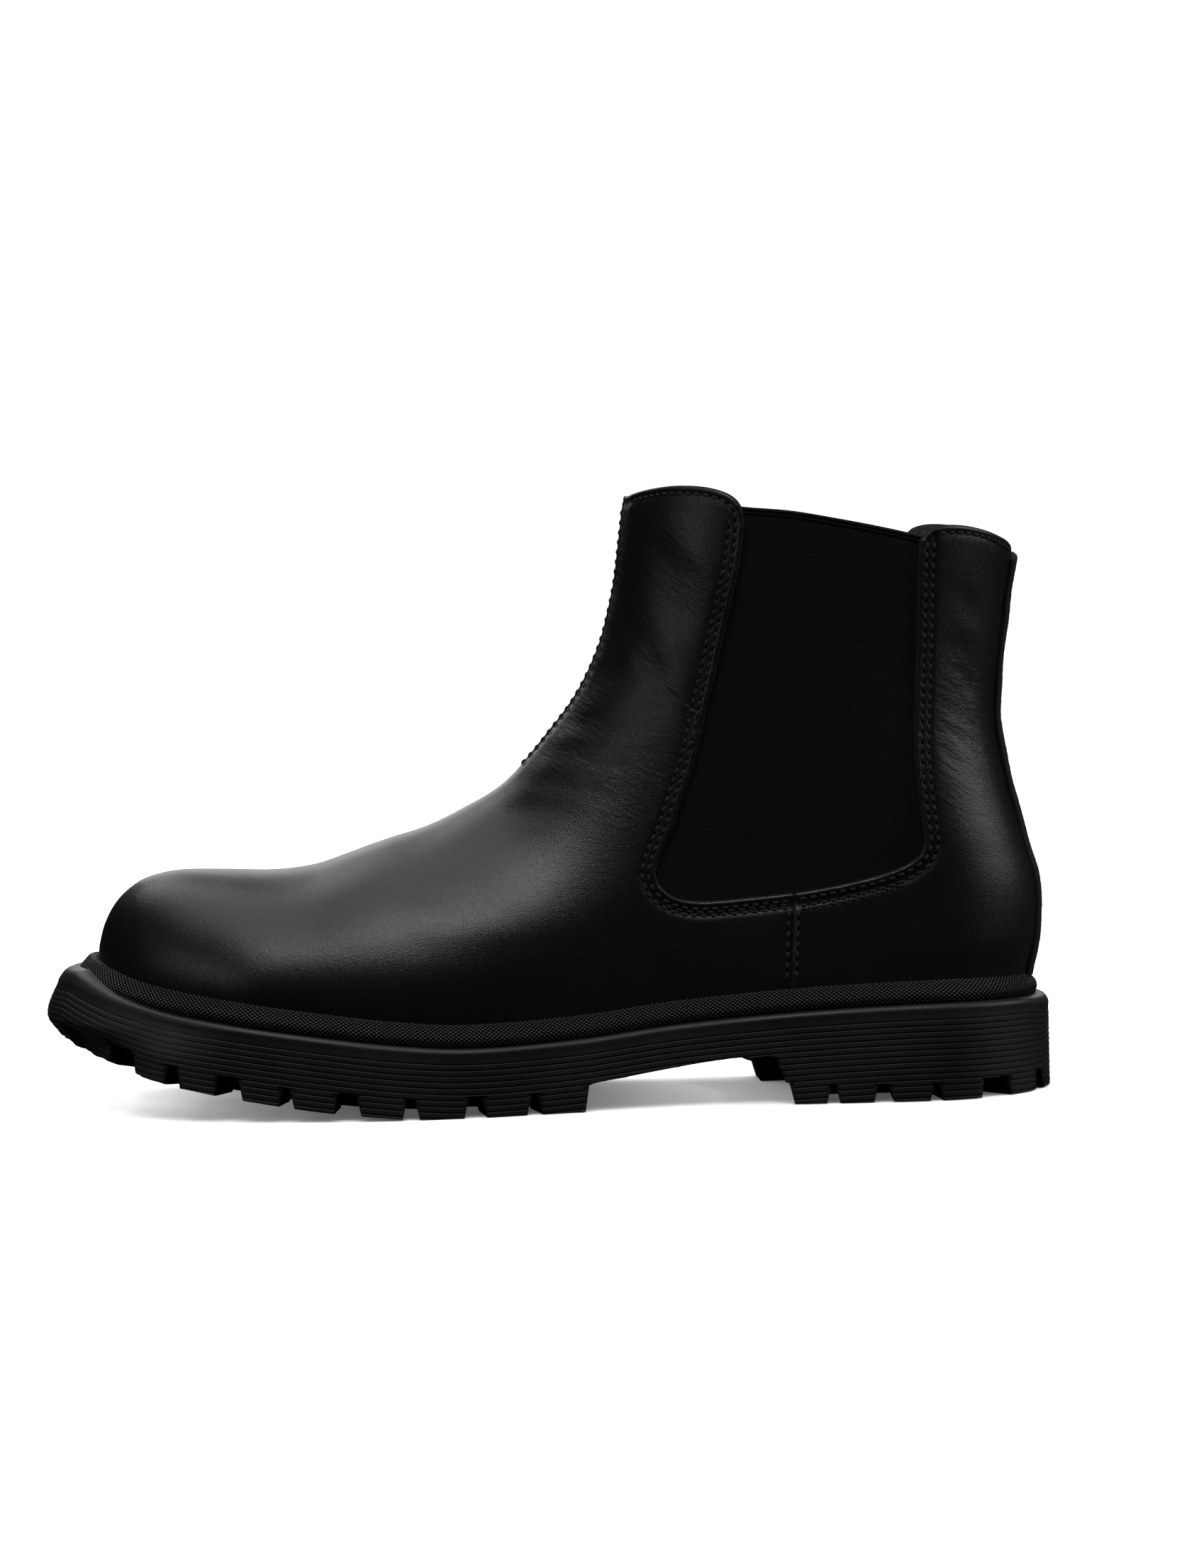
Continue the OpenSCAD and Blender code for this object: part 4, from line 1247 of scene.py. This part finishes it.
# corners of the underside's own profile, where a curve would overshoot: end of the forepart, heel breast
FRONT_END = table((8, 6.3), (9, 6.3), (13.5, 8.2), (14, 8.3))
BREAST = table((57, 14.2), (66.4, 14.3), (67.9, 13.9), (70.6, 6.3), (72, 6.3))
LUG_DRAFT = 1.4     # run of a lug's flank, in plan
MARK_TRIM = 0.3     # taken off each end of a lug, to make up for the flank
END_DEPTH = 12.0    # how far in the lugs round the toe and the heel reach
MIDDLE_SHIFT = 8    # middle lugs sit this far behind the edge lugs
RIB_PITCH = 1.78


def lug_z(x):
    """Height of the lugs' faces: the toe springs up, the heel stands on the floor."""
    return np.where(x < 20, along(LUG_FACE, x), 0.0)


def breast_shift(y):
    """How far forward the front of the heel block sits, from the lateral to the medial side."""
    return 11 * smooth((np.asarray(y) + 6) / 40)


def body_z(x, y):
    """Height of the underside between the lugs."""
    x = x + breast_shift(y) * smooth((x - 42) / 10) * smooth((90 - x) / 10)
    return np.where((x > 8) & (x < 14), np.interp(x, *FRONT_END.T),
                    np.where((x > 57) & (x < 72), np.interp(x, *BREAST.T), along(BODY_FACE, x)))


def underside_z(p, tips):
    """Height of the underside at plan points, where tips are the outlines of the lugs' faces."""
    on_tip = np.zeros(len(p), bool)
    for t in tips:
        on_tip |= inside(p, t)
    return np.where(on_tip, lug_z(p[:, 0]), body_z(*p.T))


def toe_flare(x, z, top):
    """Around the toe the wall leans out from the top edge down to its middle, and back in below."""
    lean = smooth((-88 - x) / 54) * smooth(1 - (top - z) / 14)
    return 4.6 * lean + 4.4 * smooth((-112 - x) / 34) * smooth((28.5 - z) / 8)


def wall_depths():
    """Depth under the top edge and outset of each row down the wall: rounded edge, lip, then the ribs."""
    rows = [(0.0, -7.5), (0.0, -6.0), (0.02, -4.4), (0.06, -3.0), (0.14, -1.9)]
    for a in np.linspace(12, 90, 8):
        rows.append((0.15 + 1.5 * (1 - math.cos(math.radians(a))), -1.55 + 1.6 * math.sin(math.radians(a))))
    rows += [(2.1, 0.02), (2.7, -0.06), (3.4, -0.08), (4.1, -0.06), (4.45, -0.08)]
    d = 4.52
    while d < 31:
        for f, o in ((0.0, -0.42), (0.17, -0.42), (0.2, -0.1), (0.26, 0.0), (0.56, 0.02), (0.9, 0.0),
                     (0.96, -0.08), (0.985, -0.3)):
            rows.append((d + RIB_PITCH * f, o))
        d += RIB_PITCH
    return np.array(rows)


def lug_marks():
    """Start and end of each edge lug along the outline, in order, with one lug round each end of the sole."""
    marks = [(SOLE.s_of(TOE_LUG, 1), SOLE.total + SOLE.s_of(TOE_LUG, -1)),
             (SOLE.s_of(HEEL_LUG, -1), SOLE.s_of(HEEL_LUG, 1))]
    for a, b in FRONT_LUGS + HEEL_LUGS:
        for side in (-1, 1):
            first = a - BREAST_LUG if a == HEEL_LUGS[0][0] and side > 0 else a
            ends = SOLE.s_of(first, side), SOLE.s_of(b, side)
            marks.append((min(ends) + MARK_TRIM, max(ends) - MARK_TRIM))
    return sorted(marks)


def wall_stations(step=1.2):
    """Samples of the wall along the outline, whether each lies on a lug, and each lug's first and last."""
    marks = lug_marks()
    after = [a for a, b in marks[1:]] + [marks[0][0] + SOLE.total]
    s, tip, spans = [], [], []
    for (a, b), following in zip(marks, after):
        on_lug = np.linspace(a, b, max(3, int((b - a) / step)) + 1)
        start, stop = b + LUG_DRAFT, following - LUG_DRAFT
        between = np.linspace(start, stop, max(1, int((stop - start) / step)) + 1)[1:-1]
        spans.append((len(s), len(s) + len(on_lug) + 1))
        s += [a - LUG_DRAFT, *on_lug, start, *between]
        tip += [False] + [True] * len(on_lug) + [False] * (1 + len(between))
    return np.array(s), np.array(tip), spans


def wall_points(pos, normal, tip):
    """Points of the wall by station and row, and which of them have reached its lower end."""
    rows = wall_depths()
    x, y = pos.T
    top = along(SOLE_TOP, np.clip(x, -147, 150))
    room = (top - np.where(tip, lug_z(x), body_z(x, y)))[:, None]
    ends = rows[:, 0] >= room
    depth = np.minimum(rows[:, 0], room)
    end_fall = 2.5 * smooth((-120 - x) / 30) + 2.0 * smooth((x - 143) / 9)
    fall = end_fall[:, None] * np.clip((rows[:, 1] + 7.5) / 7.5, 0, 1) ** 5
    z = top[:, None] - (depth + fall * np.clip(1 - depth / 15, 0, 1))
    out = np.where(ends, -0.75, rows[:, 1]) - toe_flare(x[:, None], z, top[:, None])
    return np.stack([x[:, None] + normal[:, :1] * out, y[:, None] + normal[:, 1:] * out, z], -1), ends


def inner_edge(sa, sb, lean, depth, count):
    """A lug's edge away from the wall: in from the wall at sa, along, and out to the wall at sb."""
    f = np.linspace(0, 1, 6)[1:]
    across = np.linspace(sa + lean, sb - lean, count)[1:-1]
    s = np.r_[sa + lean * f, across, sb - lean * f[::-1]]
    d = np.r_[depth * f, np.full(len(across), depth), depth * f[::-1]]
    return SOLE.at(s) - SOLE.normal(s) * d[:, None]


def chevron(a, b, y0, y1, lean, grow):
    """Closed outline of a middle lug, widened by grow for its foot."""
    a, b, y = a - grow, b + grow, (y0 + y1) / 2
    corners = [(a, y0 - grow), (a + lean, y), (a, y1 + grow), (b, y1 + grow), (b + lean, y), (b, y0 - grow)]
    return resample(closed(np.array(corners)), 2.5)[:-1]


def middle_lugs():
    """Middle lugs between the two long channels, as (start, end, y from, y to, lean)."""
    lugs = []
    for a, b in FRONT_LUGS[1:-1] + HEEL_LUGS[:-1]:
        a, b = a + MIDDLE_SHIFT, b + MIDDLE_SHIFT
        x = (a + b) / 2
        reach = min(float(along(t, x) * round_in((x - SOLE_TOE) / TOE_ROUND)
                      * round_in((SOLE_HEEL - x) / HEEL_ROUND))
                    for t in (HALF_LAT, HALF_MED))
        w = reach - NOTCH_DEPTH - 5.5
        if w < 6:
            continue
        cy = float(along(CENTRE_Y, x))
        for y0, y1 in [(-w, -1.4), (1.4, w)] if w > 14 else [(-w, w)]:
            lugs.append((a + 0.5, b - 1.0, y0 + cy, y1 + cy, 4.0 if a < 20 else -3.0))
    return lugs


def grid_inside(loop, xs, ys, lines, gap):
    """Grid points inside a loop that keep clear of it and of the lines."""
    g = np.stack(np.meshgrid(xs, ys, indexing="ij"), -1).reshape(-1, 2)
    g = g[inside(g, loop)]
    for line in [closed(loop)] + lines:
        g = g[distance(g, line) > gap]
    return g


def underside(edge, s, spans):
    """Points, triangles and sources of the tread inside the wall's low edge."""
    loop = edge[:, :2]
    lines, heights, tips, feet = [], [], [], []

    def add_lug(tip, foot, tip_loop, foot_loop):
        lines.extend([tip, foot])
        heights.extend([lug_z(tip[:, 0]), body_z(*foot.T)])
        tips.append(tip_loop)
        feet.append(foot_loop)

    for start, end in spans:
        sa, sb = s[start], s[end]
        k = np.arange(start, end + 1) % len(s)
        x = SOLE.at((sa + sb) / 2)[0, 0]
        depth = END_DEPTH if x < -144 or x > 149 else NOTCH_DEPTH
        count = max(3, int((sb - sa) / 3))
        tip = inner_edge(sa + LUG_DRAFT, sb - LUG_DRAFT, 0.25, depth, count)
        foot = inner_edge(sa, sb, 0.0, depth + LUG_DRAFT, count)
        add_lug(tip, foot, np.vstack([loop[k[1:-1]], tip[::-1]]), np.vstack([loop[k], foot[::-1]]))
    for lug in middle_lugs():
        tip, foot = chevron(*lug, 0), chevron(*lug, LUG_DRAFT)
        add_lug(closed(tip), closed(foot), tip, foot)

    points = []
    for x in (9.0, 13.5, 66.4, 67.9, 70.6):
        hit = loop[np.abs(loop[:, 0] - x) < 2.0]
        y = np.linspace(hit[:, 1].min() + 1.5, hit[:, 1].max() - 1.5, 34)
        line = np.column_stack([x - breast_shift(y) * (x > 40), y])
        line = line[inside(line, loop)]
        for f in feet:
            line = line[~inside(line, f)]
        points += list(line[:, None])
        heights.append(body_z(*line.T))
    grid = grid_inside(loop, np.arange(-150, 152, 3.6), np.arange(-58, 58, 3.6), lines, 1.1)
    heights = np.concatenate([edge[:, 2], *heights, underside_z(grid, tips)])
    p, tris, source = triangulate(loop, grid, lines + points)
    z = np.where(source >= 0, heights[np.clip(source, 0, len(heights) - 1)], 0)
    lost = source < 0
    z[lost] = underside_z(p[lost], tips)
    return np.column_stack([p, z]), tris, source


def sewn(source, ring, base):
    """Vertex numbers of a cap: the ring's own where a point comes from it, new ones for the rest."""
    return np.where((source >= 0) & (source < len(ring)), ring[np.clip(source, 0, len(ring) - 1)],
                    base + np.arange(len(source)))


def build_outsole():
    """One closed piece: a ribbed wall, the tread under it and a flat top that the upper hides."""
    s, tip, spans = wall_stations()
    wall, ends = wall_points(SOLE.at(s), SOLE.normal(s), tip)
    n, m = ends.shape
    faces = []
    for i in range(n):
        k = (i + 1) % n
        for j in range(m - 1):
            if not (ends[i, j] and ends[k, j]):
                faces.append((i * m + j, i * m + j + 1, k * m + j + 1, k * m + j))
    first = np.arange(n) * m
    tread, tread_tris, source = underside(wall[:, -1], s, spans)
    faces += [tuple(t) for t in sewn(source, first + m - 1, n * m)[tread_tris]]
    rim = wall[:, 0, :2]
    grid = grid_inside(rim, np.arange(-145, 146, 9.0), np.arange(-50, 50, 9.0), [], 3)
    top, top_tris, source = triangulate(rim, grid)
    faces += [tuple(t) for t in sewn(source, first, n * m + len(tread))[top_tris]]
    top = np.column_stack([top, along(SOLE_TOP, top[:, 0])])
    verts, faces = used_only(np.vstack([wall.reshape(-1, 3), tread, top]), faces)
    return sharpen(make_object("outsole_rubber", verts, faces, [RUBBER]), 32)


# ---------------------------------------------------------------- rand
# section of the strip: distance out from the upper, height over the sole's top
RAND_PROFILE = table((-4.0, 0.3), (1.0, 0.02), (3.0, 0.02), (3.4, 0.3), (3.66, 0.9), (3.78, 1.6),
                     (3.74, 2.3), (3.52, 3.0), (3.14, 3.6), (2.64, 4.2), (2.1, 4.8), (1.56, 5.4),
                     (0.98, 5.95), (0.35, 6.35), (-0.4, 6.55), (-1.2, 6.35), (-2.2, 5.6), (-4.0, 3.5))


def build_rand():
    """The knurled strip. Its UV map is in metres: along the strip, and round its section."""
    path = Path(plan_loop(UPPER_INSET - 0.25, UPPER_TOE - 2.1, 145.3, 56, 34.5, 500, 0.05))
    count, m = 760, len(RAND_PROFILE)
    s = np.arange(count) * path.total / count
    pos, normal = path.at(s), path.normal(s, 2.0)
    out, rise = RAND_PROFILE.T
    top = along(SOLE_TOP, np.clip(pos[:, 0] + normal[:, 0] * 2, -146, 150))
    x, y = pos[:, :1] + normal[:, :1] * out, pos[:, 1:] + normal[:, 1:] * out
    verts = np.stack([x, y, top[:, None] + rise], -1)
    faces = []
    for i in range(count):
        k = (i + 1) % count
        for j in range(m):
            l = (j + 1) % m
            faces.append((i * m + j, i * m + l, k * m + l, k * m + j))
    obj = make_object("rand_strip", verts.reshape(-1, 3), faces, [RAND])
    mesh = obj.data
    corner = np.empty(len(mesh.loops), np.int32)
    mesh.loops.foreach_get("vertex_index", corner)
    girth = np.r_[0, np.cumsum(np.linalg.norm(np.diff(RAND_PROFILE, axis=0), axis=1))]
    u = (s[corner // m] * MM).reshape(-1, 4)
    joint = (np.ptp(u, axis=1) > 0.3)[:, None] & (u < 0.3)
    u = np.where(joint, u + path.total * MM, u).ravel()
    uv = np.column_stack([u, girth[corner % m] * MM])
    mesh.uv_layers.new(name="surface").data.foreach_set("uv", uv.astype(np.float32).ravel())
    return obj


# ---------------------------------------------------------------- footbed
def build_footbed():
    """A sheet with rounded edges, cupped round the heel and raised under the arch."""
    nx, ny = 150, 36
    toe, heel = -127.0, 137.5
    x = toe + (heel - toe) * (1 - np.cos(np.pi * np.linspace(0.0, 1, nx))) / 2
    x[0], x[-1] = toe + 0.05, heel - 0.05
    x = x[:, None]
    q = np.sin(np.pi / 2 * np.linspace(-1, 1, ny))
    lat, med = [(along(t, x) - 12.2) * round_in((x - toe) / 54) * round_in((heel - x) / 34)
                for t in (HALF_LAT, HALF_MED)]
    y = along(CENTRE_Y, x) + q * np.where(q < 0, lat, med)
    base = along(SOLE_TOP, x)
    edge = round_in((1 - np.abs(q)) / 0.06) * round_in(np.minimum(x - toe, heel - x) / 3)
    cup = 2.2 * smooth((x - 60) / 40) * np.abs(q) ** 2.2
    arch = 1.6 * smooth((x - 5) / 30) * smooth((75 - x) / 30) * np.clip(q, 0, 1) ** 2
    top = base + 2.6 + 4.0 * (0.25 + 0.75 * edge) + (cup + arch) * edge
    verts = np.vstack([np.stack(np.broadcast_arrays(x, y, z), -1).reshape(-1, 3) for z in (top, base + 2.45)])
    n = nx * ny
    ids = np.arange(n).reshape(nx, ny)
    faces = []
    for a in ids[:-1, :-1].ravel():
        faces.append((a, a + ny, a + ny + 1, a + 1))
        faces.append((n + a, n + a + 1, n + a + ny + 1, n + a + ny))
    ring = np.r_[ids[:, 0], ids[-1, 1:], ids[-2::-1, -1], ids[0, -2:0:-1]]
    for a, b in zip(ring, np.roll(ring, -1)):
        faces.append((a, b, n + b, n + a))
    return make_object("footbed_sock", verts, faces, [SOCK])


# ---------------------------------------------------------------- assemble
# the material slot of each CAD node, from model.json
SLOT_OF = {p["node"]: p["material_slot"] for p in frame["record"]["subparts"]}


def stand_in(obj, nodes):
    """Hides the CAD nodes that a piece stands for."""
    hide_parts(*nodes)
    return obj


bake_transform(stand_in(build_outsole(), ("outsole_rear", "outsole_forepart")))
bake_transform(stand_in(build_rand(), ("rand_rear", "rand_forepart")))
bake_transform(stand_in(build_vamp(), ("vamp",)))
vamp_lining = build_lining("vamp_lining_cloth", lining_loop_front())
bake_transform(stand_in(vamp_lining, ("vamp_lining",)))
footbed = stand_in(build_footbed(), ("footbed",))
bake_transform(footbed)
for side, name in ((-1, "lateral"), (1, "medial")):
    quarter = build_quarter(side, f"quarter_{name}_leather")
    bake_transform(stand_in(quarter, (f"quarter_{name}",)))
    gore = build_gore(side, f"gore_{name}_elastic")
    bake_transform(stand_in(gore, (f"gore_{name}",)))
quarter_lining = build_lining("quarter_lining_cloth", lining_loop_rear())
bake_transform(stand_in(quarter_lining, ("quarter_lining",)))
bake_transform(stand_in(build_counter(), ("heel_counter",)))
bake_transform(stand_in(build_backstay(), ("backstay",)))
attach(stand_in(build_front_stitches(), ("front_stitching",)), "rearfoot")
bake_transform(stand_in(build_rear_stitches(), ("rear_stitching",)))

FINISH = {"fibre_board": BOARD, "filler_cork": CORK, "steel": STEEL, "tape": TAPE, "lining_textile": LINING,
          "upper_leather": LEATHER, "gore_elastic": ELASTIC, "sole_rubber": RUBBER, "rand_rubber": RAND,
          "thread": THREAD, "footbed_leather": SOCK}
for node, slot in SLOT_OF.items():
    obj = bpy.data.objects.get(node)
    if obj and obj.type == "MESH":
        for own in obj.material_slots:
            own.material = FINISH[slot]


# ---------------------------------------------------------------- studio
def build_stage():
    """A sweep of white paper that glows evenly white to the camera, with a painted contact shadow: its glow
    is dimmed close to the sole by ambient occlusion and a little by nearness to the boot. To every other ray
    it is near black.
    """
    size, bend = 4.0, 0.7
    profile = [(-4.0, 0.0), (1.4, 0.0)]
    for a in range(0, 91, 6):
        a = math.radians(a)
        profile.append((1.4 + bend * math.sin(a), bend - bend * math.cos(a)))
    profile.append((2.1, 3.2))
    verts, faces = [], []
    for y, z in profile:
        verts += [(-size, y, z), (size, y, z)]
    for i in range(0, 2 * len(profile) - 2, 2):
        faces.append((i, i + 1, i + 3, i + 2))
    mesh = bpy.data.meshes.new("studio_floor")
    mesh.from_pydata(verts, [], faces)
    mesh.polygons.foreach_set("use_smooth", [True] * len(faces))
    obj = bpy.data.objects.new("studio_floor", mesh)
    bpy.context.scene.collection.objects.link(obj)
    paper = Nodes("studio_paper", (0.92, 0.92, 0.92), 0.9, spec=0.0)
    seen = paper.add("ShaderNodeLightPath").outputs["Is Camera Ray"]
    paper.tint(seen, grey(0.03), grey(0.92))
    paper.set("Emission Color", (1, 1, 1, 1))
    away = paper.add("ShaderNodeVectorMath", operation="LENGTH")
    paper.link(paper.coords(scale=(0.8, 1, 1)), away.inputs[0])
    # painted contact shadow: ambient occlusion and nearness to the boot dim the paper's glow
    contact_shadow_ao = paper.add("ShaderNodeAmbientOcclusion", Distance=0.021, samples=8)
    near = paper.math("MULTIPLY", paper.ramp(contact_shadow_ao.outputs["AO"], 0.0, 0.85, 0.08, 1.0),
                      paper.ramp(away.outputs["Value"], 0.2, 0.6, 0.88, 1.0))
    glow = paper.math("MULTIPLY", seen, near)
    paper.link(glow, paper.b.inputs["Emission Strength"])
    mesh.materials.append(paper.m)
    obj.location.z = -0.0002


def area_light(name, location, target, size, size_y, power, colour=(1, 1, 1)):
    data = bpy.data.lights.new(name, "AREA")
    data.shape = "RECTANGLE"
    data.size, data.size_y = size, size_y
    data.energy = power
    data.color = colour
    obj = bpy.data.objects.new(name, data)
    obj.location = location
    obj.rotation_euler = (Vector(target) - Vector(location)).to_track_quat("-Z", "Y").to_euler()
    bpy.context.scene.collection.objects.link(obj)


build_stage()
area_light("top_softbox", (-0.1, 0.05, 1.25), (-0.08, 0.03, 0.05), 1.5, 1.15, 7.7, (1, 0.985, 0.965))
area_light("crown_softbox", (-0.55, 0.85, 1.0), (-0.05, 0, 0.08), 0.6, 0.5, 2.3)
area_light("brow_softbox", (-0.05, -0.9, 1.22), (0, 0, 0.08), 1.1, 0.6, 9.3, (1, 0.985, 0.965))
area_light("card_softbox", (-1.2, -0.8, 0.42), (0.03, 0, 0.12), 0.7, 0.4, 1.3)
area_light("heel_softbox", (1.3, -0.1, 0.7), (0.1, 0, 0.12), 0.95, 0.9, 7.3)
area_light("rim_softbox", (0.1, 1.5, 0.5), (0, 0, 0.08), 1.3, 0.4, 4.0)

world = bpy.data.worlds.new("studio")
bpy.context.scene.world = world
world.use_nodes = True
sky = world.node_tree
seen = sky.nodes.new("ShaderNodeLightPath").outputs["Is Camera Ray"]
level = sky.nodes.new("ShaderNodeMapRange")
level.inputs["To Min"].default_value = 0.015
level.inputs["To Max"].default_value = 1.0
sky.links.new(seen, level.inputs["Value"])
sky.links.new(level.outputs["Result"], sky.nodes["Background"].inputs["Strength"])
sky.nodes["Background"].inputs["Color"].default_value = (1, 1, 1, 1)

camera = bpy.data.cameras.new("camera")
camera.lens = 113.3
camera.sensor_fit = "VERTICAL"
camera.sensor_height = 36
eye_distance, tilt, roll = 1.5, math.radians(3.2), math.radians(-1.43)
aim = Vector((0.0142, 0, 0.0945))
cam = bpy.data.objects.new("camera", camera)
cam.location = aim + Vector((0, -math.cos(tilt), math.sin(tilt))) * eye_distance
turn = (aim - cam.location).to_track_quat("-Z", "Y").to_matrix()
cam.rotation_euler = (turn @ Matrix.Rotation(roll, 3, "Z")).to_euler()
bpy.context.scene.collection.objects.link(cam)
bpy.context.scene.camera = cam
bpy.context.scene.view_settings.view_transform = "Standard"
